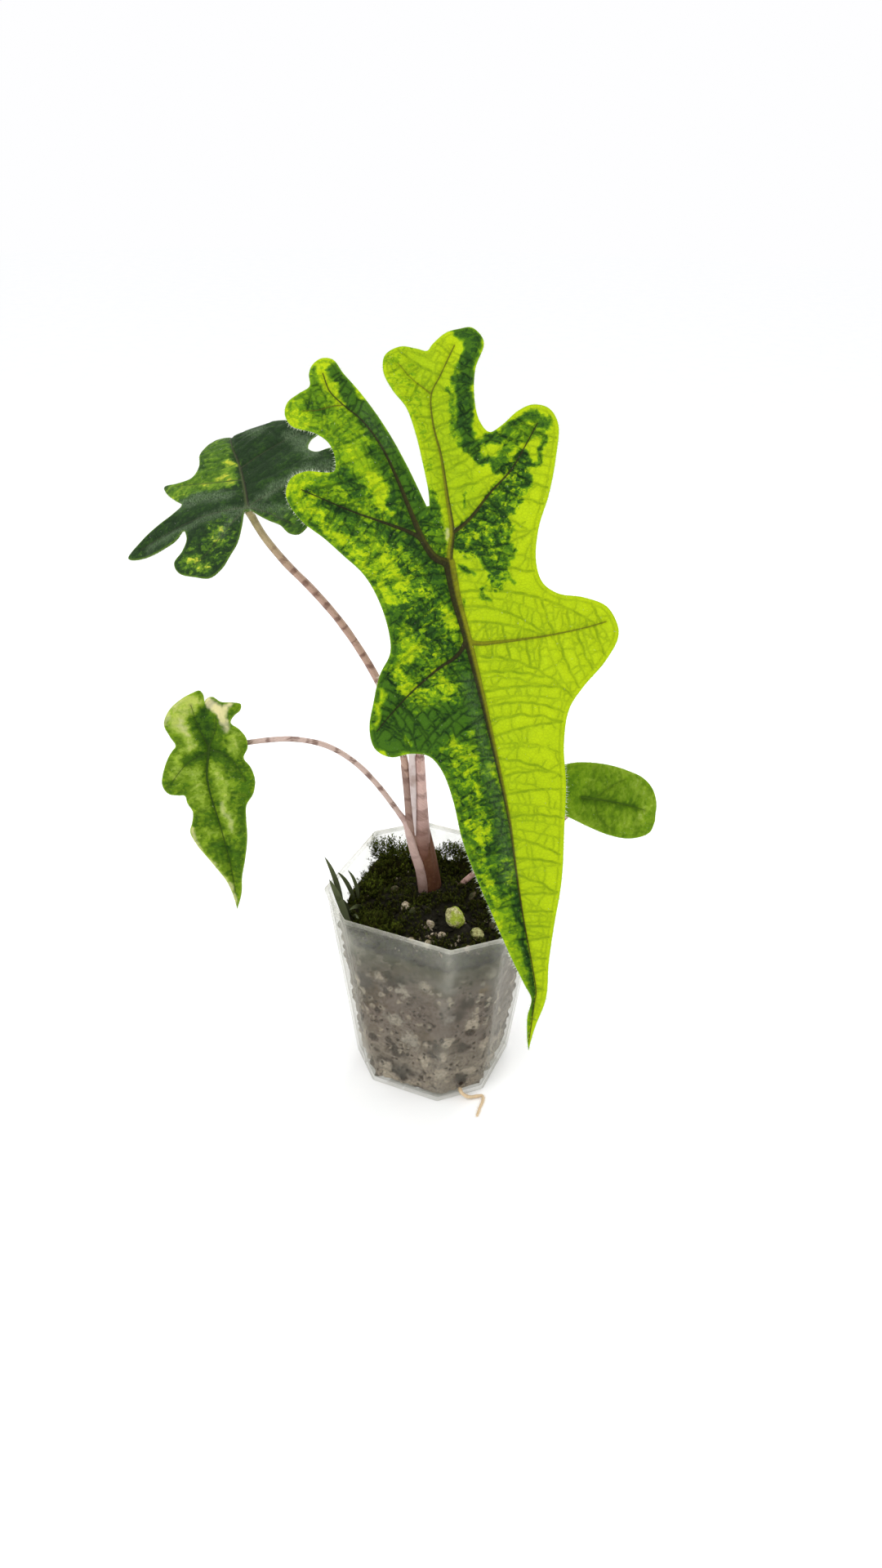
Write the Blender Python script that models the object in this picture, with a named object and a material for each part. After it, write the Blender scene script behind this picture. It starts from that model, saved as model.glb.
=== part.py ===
"""Potted alocasia: a young plant with lobed, variegated leaves in a clear nursery pot.

Run it in Blender 4.5. The origin is the centre of the pot's underside, +Z is up, and the
plant's face looks towards -Y. Lengths are in millimetres and angles in degrees; the
meshes are made in metres.
"""
import math
import random

import bmesh
import bpy
from mathutils import Euler, Matrix, Vector, noise
from mathutils.geometry import delaunay_2d_cdt
from mathutils.interpolate import poly_3d_calc

MM = 0.001
GAP = 0.3  # clearance between pieces that touch

# Pot: square with cut corners, tapered, turned about the vertical
POT_HEIGHT = 80.0
POT_RIM_WIDTH = 70.0
POT_BASE_WIDTH = 54.0
POT_RIM_CUT = 14.5
POT_BASE_CUT = 13.5
POT_TURN = -22.7
POT_WALL = 0.8
POT_FLOOR = 1.2
POT_CORNER_RADIUS = 1.6
LIP_HEIGHT = 2.6
LIP_PROUD = 0.6
FOOT_BEVEL = 0.7
SLOT_WIDTH = 2.6
SLOT_LOW = 1.8
SLOT_HIGH = 8.4
SLOT_CUT_DEPTH = 4.0  # half the slot cutter's reach through the wall
FLOOR_HOLE_RADIUS = 3.0
FLOOR_HOLE_CIRCLE = 14.0

# Potting mix and what grows and lies on it
SOIL_EDGE = 67.5
SOIL_DOME = 3.6
SOIL_RADIUS = 33.0
SOIL_LUMP = 1.3
SOIL_SPACING = 4.4
SOIL_EDGE_SPLITS = (4, 7)  # points along a cut corner and along a side
SOIL_SHIFT = 0.22          # how far its points stray, as a share of their spacing
SOIL_SEED = 4
STEM_HOLE = 14.0           # how deep the stem and the oval leaf's stalk stand in the mix

# Each moss cushion: name, centre, half sizes, turn, height, number of shoots
MOSS = (
    ("moss_back_left", (-19.0, 24.0), (11.0, 7.5), 40.0, 5.5, 26),
    ("moss_left", (-28.0, 9.0), (6.5, 7.5), 10.0, 3.6, 14),
    ("moss_back", (-2.5, 27.5), (6.0, 5.5), 0.0, 5.0, 14),
    ("moss_back_right", (15.0, 24.0), (9.0, 6.5), -25.0, 7.0, 22),
    ("moss_right", (24.0, 3.0), (6.5, 8.0), 0.0, 3.6, 14),
    ("moss_front_left", (-21.0, -14.0), (9.0, 5.5), -45.0, 2.6, 14),
)
MOSS_EDGE = 0.9
MOSS_SEED = 30
SHOOT_ROOT = 1.0  # how deep a shoot's foot sinks in its cushion
SHOOT_LENGTH = (2.6, 4.6)
SHOOT_RADIUS = 0.62
# Longer sprigs in the left cushion: place, lean, length
SPRIGS = (
    ((-30.0, 8.0), (-0.54, -0.36), 17.0),
    ((-29.0, 4.6), (-0.74, -0.38), 12.5),
    ((-26.5, 12.0), (-0.4, 0.1), 11.0),
)
SPRIG_RADIUS = 0.8

# Stones are uneven balls: bump sizes and how flat they are across and high
STONE_BUMPS = (0.88, 1.06)
STONE_ACROSS = (0.78, 0.95)
STONE_HIGH = (0.66, 0.85)
GRAIN_SEED = 20
LUMP_SEED = 60

# Each loose grain: centre on the mix, radius, how far its middle stands above the mix
GRAINS = (
    ((-10.9, -4.6), 2.1, 0.5),
    ((-8.2, -8.6), 1.7, 0.4),
    ((-1.8, -13.4), 1.8, 0.4),
    ((2.3, -19.4), 1.6, 0.4),
    ((-2.6, -23.6), 1.9, 0.4),
    ((-8.3, -20.6), 1.5, 0.4),
    ((11.5, -25.3), 1.6, 0.4),
    ((20.5, -11.5), 2.0, 0.5),
    ((13.4, 3.5), 1.8, 0.4),
    ((-15.5, 9.5), 1.9, 0.4),
)
# Two rounder lumps green with algae
LUMPS = (
    ("green_lump_large", (6.8, -12.0), 3.9, 0.9),
    ("green_lump_small", (14.8, -18.0), 2.7, 0.7),
)

# Stem base: centre line from inside the mix to the fork, with half widths across and deep
STEM_ROUTE = (
    (-2.4, 9.6, 61.0),
    (-2.7, 9.0, 71.0),
    (-3.9, 8.0, 81.0),
    (-5.3, 7.0, 91.0),
    (-6.8, 5.9, 101.0),
    (-8.0, 5.0, 109.0),
)
STEM_HALF_WIDTHS = (4.4, 4.5, 4.4, 4.3, 4.4, 4.3)
STEM_HALF_DEPTHS = (3.9, 3.9, 3.6, 3.3, 3.1, 2.9)

# Leaf stalks: routes from the root end to just under the blade, and end radii
PETIOLE_MAIN = (
    (-5.7, 5.2, 103.0),
    (-6.4, 4.6, 116.0),
    (-6.8, 4.4, 130.0),
    (-6.6, 5.0, 148.0),
    (-5.4, 5.0, 168.0),
    (-3.0, 1.0, 188.0),
    (-0.4, -8.5, 202.5),
    (1.2, -17.5, 207.8),
)
PETIOLE_BACK = (
    (-9.9, 4.6, 103.0),
    (-10.7, 4.3, 116.0),
    (-12.4, 4.1, 129.8),
    (-15.9, 4.3, 143.0),
    (-20.4, 4.6, 156.4),
    (-27.0, 5.7, 168.5),
    (-34.0, 6.3, 179.0),
    (-42.0, 7.1, 188.5),
    (-50.1, 7.8, 196.9),
    (-56.6, 8.4, 205.2),
)
PETIOLE_LOW = (
    (-8.6, 5.3, 97.5),
    (-11.4, 5.3, 101.6),
    (-15.2, 5.2, 107.8),
    (-21.4, 5.0, 117.2),
    (-27.6, 4.8, 124.7),
    (-33.7, 4.5, 129.9),
    (-39.4, 4.2, 133.1),
    (-45.5, 4.0, 134.7),
    (-51.5, 3.8, 135.3),
    (-58.0, 3.7, 134.8),
    (-65.0, 4.2, 133.4),
    (-71.5, 5.4, 131.4),
)
PETIOLE_OVAL = (
    (3.6, 12.2, 61.0),
    (7.5, 12.0, 68.0),
    (13.9, 11.6, 75.8),
    (25.3, 11.4, 84.2),
    (36.8, 11.8, 93.0),
    (45.4, 12.6, 100.4),
)
STALK_SOCKET = 12.0  # how deep three of the stalks stand in the stem
ROD_END = 0.35       # how far a rod's end cap stands out, as a share of its radius

# Blades: thickness at the edge, extra under the veins and the groove above them
BLADE = 0.8
RIB = 0.9
RIB_REACH = 4.0
GROOVE = 0.25
WAVE_REACH = 30.0  # distance from the midrib where the edge's wave is at its full height

# Outlines are drawn as seen with the upper side up and the tip down the page: each point is
# (to the right, towards the tip) from where the stalk meets the blade.
MAIN_LEFT = (
    (-3.7, -17.2), (-7.3, -29.5), (-11.3, -40.5), (-17.0, -52.5), (-21.0, -59.5),
    (-23.5, -64.5), (-26.8, -65.5), (-29.8, -63.9), (-31.0, -61.5), (-31.4, -57.8),
    (-34.8, -56.3), (-38.5, -54.3), (-39.8, -50.8), (-38.3, -46.8), (-32.0, -43.2),
    (-28.5, -39.5), (-27.4, -34.5), (-28.3, -31.3), (-31.5, -31.5), (-36.0, -32.6),
    (-40.8, -31.5), (-43.1, -27.5), (-42.4, -23.5), (-39.5, -18.5), (-34.5, -13.3),
    (-29.5, -7.0), (-25.0, -1.0), (-22.0, 6.7), (-20.5, 16.0), (-21.1, 22.8),
    (-25.0, 28.3), (-28.3, 36.0), (-30.7, 43.3), (-30.0, 49.3), (-26.0, 52.3),
    (-20.0, 52.3), (-15.0, 53.9), (-12.0, 58.7), (-10.3, 67.3), (-9.5, 79.5),
    (-6.8, 93.0), (-4.3, 103.0), (-1.3, 115.0), (1.5, 124.5), (2.8, 129.0),
    (0.8, 134.0), (-0.2, 140.0), (-0.5, 144.0),
)
MAIN_RIGHT = (
    (-0.5, 144.0), (2.5, 137.5), (7.0, 129.5), (9.5, 119.0), (12.5, 109.0),
    (17.0, 95.5), (20.3, 80.5), (22.7, 68.7), (24.0, 56.7), (27.0, 47.3),
    (32.0, 41.7), (39.3, 35.7), (44.3, 29.7), (45.1, 26.0), (43.0, 19.7),
    (36.7, 15.9), (29.7, 13.7), (25.7, 10.0), (24.7, 4.0), (26.8, -5.0),
    (31.5, -14.5), (35.3, -24.5), (37.9, -35.0), (36.0, -39.8), (31.5, -41.5),
    (27.0, -40.3), (21.5, -36.8), (17.8, -35.4), (15.6, -38.5), (15.0, -44.5),
    (16.8, -54.0), (20.4, -60.5), (20.2, -63.0), (17.8, -66.4), (14.3, -66.7),
    (10.3, -66.3), (5.8, -63.6), (4.0, -62.0), (1.0, -63.4), (-3.5, -64.7),
    (-8.3, -62.8), (-9.6, -58.0), (-7.8, -52.0), (-4.8, -46.5), (-3.4, -39.0),
    (-2.7, -29.0), (-2.5, -21.0), (-2.9, -17.2),
)
MAIN_VEINS = (
    ((0.0, 0.0), (0.8, 15.3), (3.0, 39.3), (4.7, 69.3), (4.5, 90.0), (4.3, 105.0), (3.9, 128.0)),
    ((0.0, 0.0), (2.3, -8.5), (2.8, -31.0), (2.1, -42.0), (6.5, -54.0), (11.5, -61.0)),
    ((2.3, -8.5), (12.0, -15.0), (22.0, -23.5), (32.0, -36.0)),
    ((0.0, 0.0), (-7.0, -10.5), (-12.0, -31.0), (-20.0, -47.5), (-27.0, -60.0)),
    ((-6.0, -6.5), (-20.0, -16.5), (-38.0, -27.0)),
    ((1.3, 21.3), (10.0, 24.7), (23.3, 25.2), (41.0, 24.8)),
    ((0.3, 23.3), (-12.0, 31.7), (-27.5, 45.0)),
)

BACK_LEFT = (
    (-0.7, -1.4), (-2.4, -4.2), (-5.6, -8.4), (-9.0, -12.0), (-11.2, -16.4),
    (-14.0, -18.0), (-17.4, -16.2), (-21.6, -11.6), (-24.2, -5.8), (-27.0, -2.4),
    (-32.0, -1.2), (-37.4, 0.8), (-40.6, 4.6), (-39.6, 9.4), (-35.6, 12.8),
    (-29.6, 14.8), (-25.0, 14.6), (-22.6, 18.1), (-23.7, 23.1), (-27.0, 26.6),
    (-28.2, 30.8), (-25.4, 34.2), (-20.0, 35.6), (-15.6, 38.8), (-12.6, 45.0),
    (-10.4, 53.0), (-7.4, 64.0), (-3.4, 76.0), (0.6, 86.0),
)
BACK_RIGHT = (
    (0.6, 86.0), (4.4, 76.0), (7.6, 65.0), (9.4, 56.0), (10.2, 48.0),
    (11.4, 41.0), (13.3, 34.7), (13.8, 27.0), (16.6, 22.8), (22.0, 23.4),
    (27.0, 26.2), (26.0, 20.6), (23.4, 16.0), (21.4, 12.9), (25.0, 11.2),
    (30.5, 10.2), (38.3, 8.6), (45.4, 6.2), (38.4, 1.2), (30.9, -2.2),
    (24.9, -2.6), (21.8, 0.2), (20.8, -5.0), (23.0, -8.8), (26.4, -11.4),
    (25.8, -15.2), (21.1, -18.9), (15.8, -21.9), (11.4, -20.2), (8.4, -17.0),
    (5.2, -13.2), (2.8, -7.4), (1.1, -0.9),
)
BACK_VEINS = (
    ((0.1, 0.3), (0.0, 10.0), (0.6, 21.7), (2.0, 32.0), (3.0, 44.0), (2.4, 60.0), (1.0, 79.0)),
    ((0.1, 0.3), (6.0, -5.0), (14.0, -12.0), (20.0, -15.0)),
    ((0.1, 0.3), (12.0, 2.2), (26.0, 4.4), (40.0, 5.8)),
    ((0.3, 14.0), (10.0, 17.2), (22.0, 22.0)),
    ((0.1, 0.3), (-6.0, -5.4), (-13.4, -14.0)),
    ((0.1, 0.3), (-12.0, 3.4), (-26.0, 6.6), (-36.0, 6.4)),
    ((0.6, 20.0), (-10.0, 24.4), (-23.0, 30.0)),
)

LOW_LEFT = (
    (-1.5, -10.4), (-1.3, -14.0), (-1.0, -17.4), (-1.9, -19.3), (-5.0, -18.5),
    (-8.9, -16.7), (-13.0, -13.5), (-15.2, -9.3), (-13.9, -5.0), (-12.4, -1.6),
    (-13.9, 0.0), (-15.6, 2.2), (-17.8, 6.8), (-18.8, 10.6), (-17.4, 13.8),
    (-14.0, 15.0), (-11.9, 15.4), (-11.4, 18.0), (-10.0, 21.2), (-10.8, 24.8),
    (-11.9, 27.6), (-10.5, 32.3), (-6.5, 39.0), (-2.8, 46.0), (-1.5, 51.0),
    (-0.9, 56.4),
)
LOW_RIGHT = (
    (-0.9, 56.4), (1.6, 51.0), (2.8, 45.5), (5.0, 39.5), (6.9, 32.5),
    (7.5, 26.0), (8.4, 21.6), (11.3, 18.0), (12.6, 13.6), (11.7, 9.2),
    (9.8, 5.8), (11.7, 2.4), (11.7, -0.9), (10.0, -3.8), (7.3, -6.6),
    (8.6, -8.7), (11.0, -10.4), (11.4, -12.4), (8.9, -13.3), (4.9, -14.1),
    (2.2, -16.0), (0.2, -15.3), (-0.5, -13.0), (-1.0, -10.4),
)
LOW_VEINS = (
    ((-1.4, 0.3), (-3.6, 10.0), (-3.4, 16.0), (-1.8, 27.0), (-0.6, 39.0), (-0.4, 50.0)),
    ((-1.4, 0.3), (-4.0, -7.0), (-5.5, -14.5)),
    ((-1.4, 0.3), (2.4, -6.0), (4.0, -12.0)),
    ((-2.0, 2.0), (-9.0, 4.6), (-15.6, 10.4)),
    ((-1.4, 1.0), (4.6, 4.4), (9.6, 13.4)),
)

OVAL_LEFT = (
    (1.0, -3.4), (-1.6, -6.0), (-4.8, -6.6), (-6.6, -4.2), (-7.5, 0.6),
    (-8.4, 6.4), (-8.9, 12.6), (-8.3, 19.4), (-6.2, 24.4), (-3.6, 27.2),
    (0.6, 27.9),
)
OVAL_RIGHT = (
    (0.6, 27.9), (6.4, 26.6), (11.4, 23.4), (14.2, 18.8), (15.1, 12.4),
    (15.0, 5.4), (13.9, -1.0), (12.0, -6.8), (9.2, -10.8), (5.8, -11.6),
    (3.2, -8.6), (1.8, -3.4),
)
OVAL_VEINS = (
    ((1.2, 0.0), (2.2, 6.0), (3.2, 14.0), (3.4, 23.0)),
    ((1.9, 4.0), (9.0, 9.4), (12.0, 13.0)),
    ((1.9, 4.0), (-4.4, 8.0), (-6.4, 12.4)),
)


class Leaf:
    """One blade: its plan, where it is held, and how it bends along and across."""

    def __init__(self, name, strokes, veins, junction, turns, along, across, wave, spacing):
        self.name = name
        self.strokes = strokes
        self.veins = veins
        self.junction = Vector(junction)
        self.turns = turns      # lean about X, roll about Y, swing in its own plane
        self.along = along      # (distance towards the tip, slope) knots
        self.across = across    # (distance from the midrib, slope) knots, left and right
        self.wave = wave        # height at the edge, wavelength, start
        self.spacing = spacing


LEAVES = (
    Leaf("leaf_main", (MAIN_LEFT, MAIN_RIGHT), MAIN_VEINS,
         junction=(1.6, -25.0, 210.5), turns=(59.0, 0.0, 10.9),
         along=((-70.0, 7.0), (-30.0, 1.0), (0.0, 0.0), (60.0, -1.5), (145.0, -7.0)),
         across=(((0.0, 7.0), (12.0, 1.0), (45.0, -6.0)), ((0.0, 7.0), (12.0, 1.0), (45.0, -6.0))),
         wave=(1.3, 52.0, 10.0), spacing=6.2),
    Leaf("leaf_back", (BACK_LEFT, BACK_RIGHT), BACK_VEINS,
         junction=(-61.5, 10.0, 213.9), turns=(25.0, -15.0, 193.0),
         along=((-30.0, 22.0), (0.0, 0.0), (30.0, -3.0), (52.0, -50.0), (84.0, -68.0)),
         across=(((0.0, 5.0), (12.0, -1.0), (40.0, -14.0)), ((0.0, 6.0), (14.0, -4.0), (40.0, -26.0))),
         wave=(0.9, 27.0, 4.0), spacing=4.6),
    Leaf("leaf_low", (LOW_LEFT, LOW_RIGHT), LOW_VEINS,
         junction=(-76.6, 0.0, 134.2), turns=(59.0, 0.0, 10.0),
         along=((-20.0, 14.0), (0.0, 0.0), (30.0, -3.0), (57.0, -12.0)),
         across=(((0.0, 14.0), (8.0, 2.0), (20.0, -14.0)), ((0.0, 14.0), (8.0, 2.0), (20.0, -14.0))),
         wave=(1.3, 19.0, 3.0), spacing=3.4),
    Leaf("leaf_oval", (OVAL_LEFT, OVAL_RIGHT), OVAL_VEINS,
         junction=(50.8, 10.0, 109.6), turns=(59.0, 0.0, 74.4),
         along=((-12.0, 12.0), (0.0, 0.0), (28.0, -16.0)),
         across=(((0.0, 10.0), (6.0, 0.0), (16.0, -16.0)), ((0.0, 10.0), (6.0, 0.0), (16.0, -16.0))),
         wave=(0.5, 24.0, 0.0), spacing=3.6),
)

# Root that has grown out of the front drain slot and lies on the surface
ROOT_ROUTE = (
    (10.5, -25.6, 3.4),
    (11.2, -27.4, 3.1),
    (13.6, -28.0, 1.7),
    (16.8, -26.9, 0.95),
    (19.0, -26.4, 0.8),
    (19.2, -28.8, 0.75),
    (18.2, -32.0, 0.75),
    (16.9, -36.5, 0.75),
)
ROOT_RADII = (0.7, 0.5)

# Colours: red, green, blue, roughness
COLOURS = {
    "pot": (0.55, 0.57, 0.56, 0.35),
    "soil": (0.035, 0.028, 0.02, 0.95),
    "moss": (0.10, 0.13, 0.03, 0.9),
    "grain": (0.55, 0.48, 0.36, 0.9),
    "green_lump": (0.30, 0.40, 0.08, 0.8),
    "stem": (0.38, 0.24, 0.19, 0.5),
    "petiole": (0.42, 0.27, 0.22, 0.5),
    "root": (0.62, 0.46, 0.30, 0.7),
    "leaf_main": (0.42, 0.60, 0.03, 0.45),
    "leaf_back": (0.06, 0.14, 0.04, 0.6),
    "leaf_low": (0.20, 0.36, 0.05, 0.5),
    "leaf_oval": (0.14, 0.30, 0.04, 0.4),
}


def clear_scene():
    for obj in list(bpy.data.objects):
        bpy.data.objects.remove(obj, do_unlink=True)


def material(name, kind):
    """A plain finish in one of the colours above."""
    red, green, blue, rough = COLOURS[kind]
    made = bpy.data.materials.new(name)
    made.use_nodes = True
    shader = made.node_tree.nodes["Principled BSDF"]
    shader.inputs["Base Color"].default_value = (red, green, blue, 1.0)
    shader.inputs["Roughness"].default_value = rough
    shader.inputs["Metallic"].default_value = 0.0
    made.diffuse_color = (red, green, blue, 1.0)
    return made


def add_solid(name, points, faces, kind=None, smooth=None):
    """Make an object from points in millimetres and faces that point out."""
    mesh = bpy.data.meshes.new(name)
    mesh.from_pydata([tuple(Vector(point) * MM) for point in points], [], faces)
    mesh.update()
    obj = bpy.data.objects.new(name, mesh)
    bpy.context.collection.objects.link(obj)
    if kind:
        mesh.materials.append(material(name, kind))
    if smooth:
        mesh.shade_smooth()
        mesh.set_sharp_from_angle(angle=math.radians(smooth))
    return obj


def hide_cutter(cutter):
    cutter.hide_render = True
    cutter.display_type = "WIRE"


def cut(obj, cutter):
    """Take the cutter out of the object with a Boolean that stays on it."""
    hide_cutter(cutter)
    modifier = obj.modifiers.new("cut_" + cutter.name, "BOOLEAN")
    modifier.operation = "DIFFERENCE"
    modifier.solver = "EXACT"
    modifier.object = cutter


def blend(low, high, share):
    return low + (high - low) * share


def catmull(before, start, end, after, share):
    """Point on a smooth curve between START and END, free of loops."""
    knots = [0.0]
    for first, second in ((before, start), (start, end), (end, after)):
        knots.append(knots[-1] + max((second - first).length, 1e-6) ** 0.5)
    at = blend(knots[1], knots[2], share)

    def mix(first, second, low, high):
        return first.lerp(second, (at - low) / (high - low))

    first = mix(before, start, knots[0], knots[1])
    second = mix(start, end, knots[1], knots[2])
    third = mix(end, after, knots[2], knots[3])
    left = mix(first, second, knots[0], knots[2])
    right = mix(second, third, knots[1], knots[3])
    return mix(left, right, knots[1], knots[2])


def smooth_line(points, spacing):
    """Evenly spaced points on a smooth open curve through POINTS."""
    points = [Vector(point) for point in points]
    ends = [points[0] * 2 - points[1]] + points + [points[-1] * 2 - points[-2]]
    fine = []
    steps = 10
    for i in range(len(points) - 1):
        fine += [catmull(*ends[i:i + 4], step / steps) for step in range(steps)]
    fine.append(points[-1])
    lengths = [0.0]
    for first, second in zip(fine, fine[1:]):
        lengths.append(lengths[-1] + (second - first).length)
    count = max(2, round(lengths[-1] / spacing))
    even = []
    i = 0
    for step in range(count):
        at = lengths[-1] * step / count
        while lengths[i + 1] < at:
            i += 1
        even.append(fine[i].lerp(fine[i + 1], (at - lengths[i]) / (lengths[i + 1] - lengths[i])))
    return even + [points[-1]]


def skin(rings):
    """Points and faces of a closed body through rings that run counter-clockwise going up."""
    count = len(rings[0])
    points = [point for ring in rings for point in ring]
    faces = [tuple(reversed(range(count)))]
    for k in range(len(rings) - 1):
        low = k * count
        high = low + count
        for i in range(count):
            j = (i + 1) % count
            faces.append((low + i, low + j, high + j, high + i))
    last = (len(rings) - 1) * count
    faces.append(tuple(range(last, last + count)))
    return points, faces


def join_bodies(bodies):
    """Put several (points, faces) bodies in one list."""
    points = []
    faces = []
    for body_points, body_faces in bodies:
        offset = len(points)
        points += body_points
        faces += [tuple(offset + index for index in face) for face in body_faces]
    return points, faces


def prism(centre, radius, low, high, sides, turn=0.0):
    rings = []
    for height in (low, high):
        ring = []
        for i in range(sides):
            angle = turn + math.tau * i / sides
            ring.append(Vector((centre[0] + radius * math.cos(angle),
                                centre[1] + radius * math.sin(angle), height)))
        rings.append(ring)
    return skin(rings)


def tube(route, radii, sides, depths=None, tip=0.6):
    """A round rod along ROUTE; its ends narrow to TIP of their radius."""
    rings = []
    last = len(route) - 1
    side = Vector((1.0, 0.0, 0.0))
    for i, point in enumerate(route):
        heading = (route[min(i + 1, last)] - route[max(i - 1, 0)]).normalized()
        side = (side - heading * side.dot(heading)).normalized()
        up = heading.cross(side)
        wide = radii[i]
        deep = depths[i] if depths else wide
        ring = []
        for k in range(sides):
            angle = math.tau * k / sides
            ring.append(point + side * (wide * math.cos(angle)) + up * (deep * math.sin(angle)))
        rings.append(ring)
    ends = []
    for ring, outwards in ((rings[0], route[0] - route[1]), (rings[-1], route[-1] - route[-2])):
        middle = sum(ring, Vector()) / sides
        push = outwards.normalized() * (ring[0] - middle).length * ROD_END
        ends.append([middle + (point - middle) * tip + push for point in ring])
    return skin([ends[0]] + rings + [ends[1]])


def taper(count, start, end):
    return [blend(start, end, i / (count - 1)) for i in range(count)]


def pot_ring(height, inset, splits=(0, 0)):
    """Outline of the pot at HEIGHT, moved in by INSET, with extra points on its edges."""
    share = height / POT_HEIGHT
    half = blend(POT_BASE_WIDTH, POT_RIM_WIDTH, share) / 2 - inset
    leg = blend(POT_BASE_CUT, POT_RIM_CUT, share) - inset * (2 - math.sqrt(2))
    near = half - leg
    corners = [(-half, -near), (-near, -half), (near, -half), (half, -near),
               (half, near), (near, half), (-near, half), (-half, near)]
    corners = [Vector((x, y, 0.0)) for x, y in corners]
    eighth = math.radians(22.5)
    reach = POT_CORNER_RADIUS * math.tan(eighth)
    short = POT_CORNER_RADIUS * (1 / math.cos(eighth) - 1)
    rounded = []
    for i, corner in enumerate(corners):
        start = corner + (corners[i - 1] - corner).normalized() * reach
        end = corner + (corners[(i + 1) % 8] - corner).normalized() * reach
        middle = corner + ((start + end) / 2 - corner).normalized() * short
        rounded.append((start, middle, end))
    points = []
    for i, (start, middle, end) in enumerate(rounded):
        points += [start, middle, end]
        following = rounded[(i + 1) % 8][0]
        extra = splits[i % 2]
        points += [end.lerp(following, (k + 1) / (extra + 1)) for k in range(extra)]
    turned = Matrix.Rotation(math.radians(POT_TURN), 3, "Z")
    return [turned @ point + Vector((0.0, 0.0, height)) for point in points]


def build_pot():
    inner = LIP_PROUD + POT_WALL
    lip_foot = POT_HEIGHT - LIP_HEIGHT
    profile = ((0.0, LIP_PROUD + FOOT_BEVEL), (FOOT_BEVEL, LIP_PROUD), (lip_foot, LIP_PROUD),
               (lip_foot + LIP_PROUD, 0.0), (POT_HEIGHT, 0.0), (POT_HEIGHT, inner),
               (POT_FLOOR, inner))
    rings = [pot_ring(height, inset) for height, inset in profile]
    pot = add_solid("pot", *skin(rings), "pot", smooth=30)
    cut(pot, add_solid("drain_cutter", *drain_openings()))


def drain_openings():
    """A slot low in each cut corner and four round holes in the floor."""
    bodies = []
    slot_reach = pot_face_distance(SLOT_LOW)
    for i in range(4):
        turn = math.radians(POT_TURN + 45 + 90 * i)
        out = Vector((math.cos(turn), math.sin(turn), 0.0))
        side = Vector((-out.y, out.x, 0.0)) * (SLOT_WIDTH / 2)
        rings = []
        for height in (SLOT_LOW, SLOT_HIGH):
            centre = out * slot_reach + Vector((0.0, 0.0, height))
            deep = out * SLOT_CUT_DEPTH
            rings.append([centre - deep - side, centre + deep - side,
                          centre + deep + side, centre - deep + side])
        bodies.append(skin(rings))
        hole_turn = turn + math.radians(45)
        centre = (FLOOR_HOLE_CIRCLE * math.cos(hole_turn), FLOOR_HOLE_CIRCLE * math.sin(hole_turn))
        bodies.append(prism(centre, FLOOR_HOLE_RADIUS, -1.0, POT_FLOOR + 0.15, 12))
    return join_bodies(bodies)


def pot_face_distance(height):
    """How far the cut corner's outside stands from the axis."""
    share = height / POT_HEIGHT
    half = blend(POT_BASE_WIDTH, POT_RIM_WIDTH, share) / 2
    leg = blend(POT_BASE_CUT, POT_RIM_CUT, share)
    return half * math.sqrt(2) - leg / math.sqrt(2) - LIP_PROUD


def soil_height(x, y):
    """Height of the mix: a low dome with lumps that fade out at the pot's wall."""
    share = min(1.0, math.hypot(x, y) / SOIL_RADIUS)
    lumps = noise.noise(Vector((x, y, 3.0)) * 0.13) + 0.5 * noise.noise(Vector((x, y, 9.0)) * 0.3)
    return SOIL_EDGE + SOIL_DOME * (1 - share ** 2) + SOIL_LUMP * 2 * lumps * (1 - share ** 4)


def soil_inset():
    return LIP_PROUD + POT_WALL + GAP + 0.05


def soil_top():
    """Triangles of the mix's upper face: its points, with the outer ring first, and faces."""
    ring = pot_ring(SOIL_EDGE, soil_inset(), SOIL_EDGE_SPLITS)
    edge = [point.xy for point in ring]
    inside = hex_points(edge, [], SOIL_SPACING, 0.7)
    draw = random.Random(SOIL_SEED)
    shift = SOIL_SPACING * SOIL_SHIFT
    inside = [point + Vector((draw.uniform(-shift, shift), draw.uniform(-shift, shift)))
              for point in inside]
    count = len(edge)
    loop = [(i, (i + 1) % count) for i in range(count)]
    flat, _, faces, *_ = delaunay_2d_cdt(edge + inside, loop, [], 1, 1e-5)
    points = []
    for i, point in enumerate(flat):
        height = SOIL_EDGE if i < count else soil_height(point.x, point.y)
        points.append(Vector((point.x, point.y, height)))
    return points, [tuple(face) for face in faces], count


def build_soil(top, routes, stones):
    """The plug of mix, with plain holes for what stands in it and hollows for the grains."""
    points, faces, count = top
    base = pot_ring(POT_FLOOR + GAP, soil_inset(), SOIL_EDGE_SPLITS)
    offset = len(points)
    faces = list(faces)
    for i in range(count):
        j = (i + 1) % count
        faces.append((offset + i, offset + j, j, i))
    faces.append(tuple(offset + i for i in reversed(range(count))))
    soil = add_solid("soil", points + base, faces, "soil")
    cutters = [socket_body(route, radius, STEM_HOLE, 10) for route, radius in routes]
    for centre, radius, lift, seed in stones:
        cutters.append(stone_body(centre, radius + GAP, lift, seed, radius))
    cut(soil, add_solid("soil_cutter", *join_bodies(cutters)))


def socket_body(route, radius, length, sides):
    """The hole that the first LENGTH of a rod stands in, with clearance all round."""
    start = route[0] - (route[1] - route[0]).normalized() * GAP
    path = [start]
    travelled = 0.0
    for first, second in zip(route, route[1:]):
        travelled += (second - first).length
        path.append(second)
        if travelled > length:
            break
    return tube(path, [radius + GAP] * len(path), sides, tip=1.0)


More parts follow.
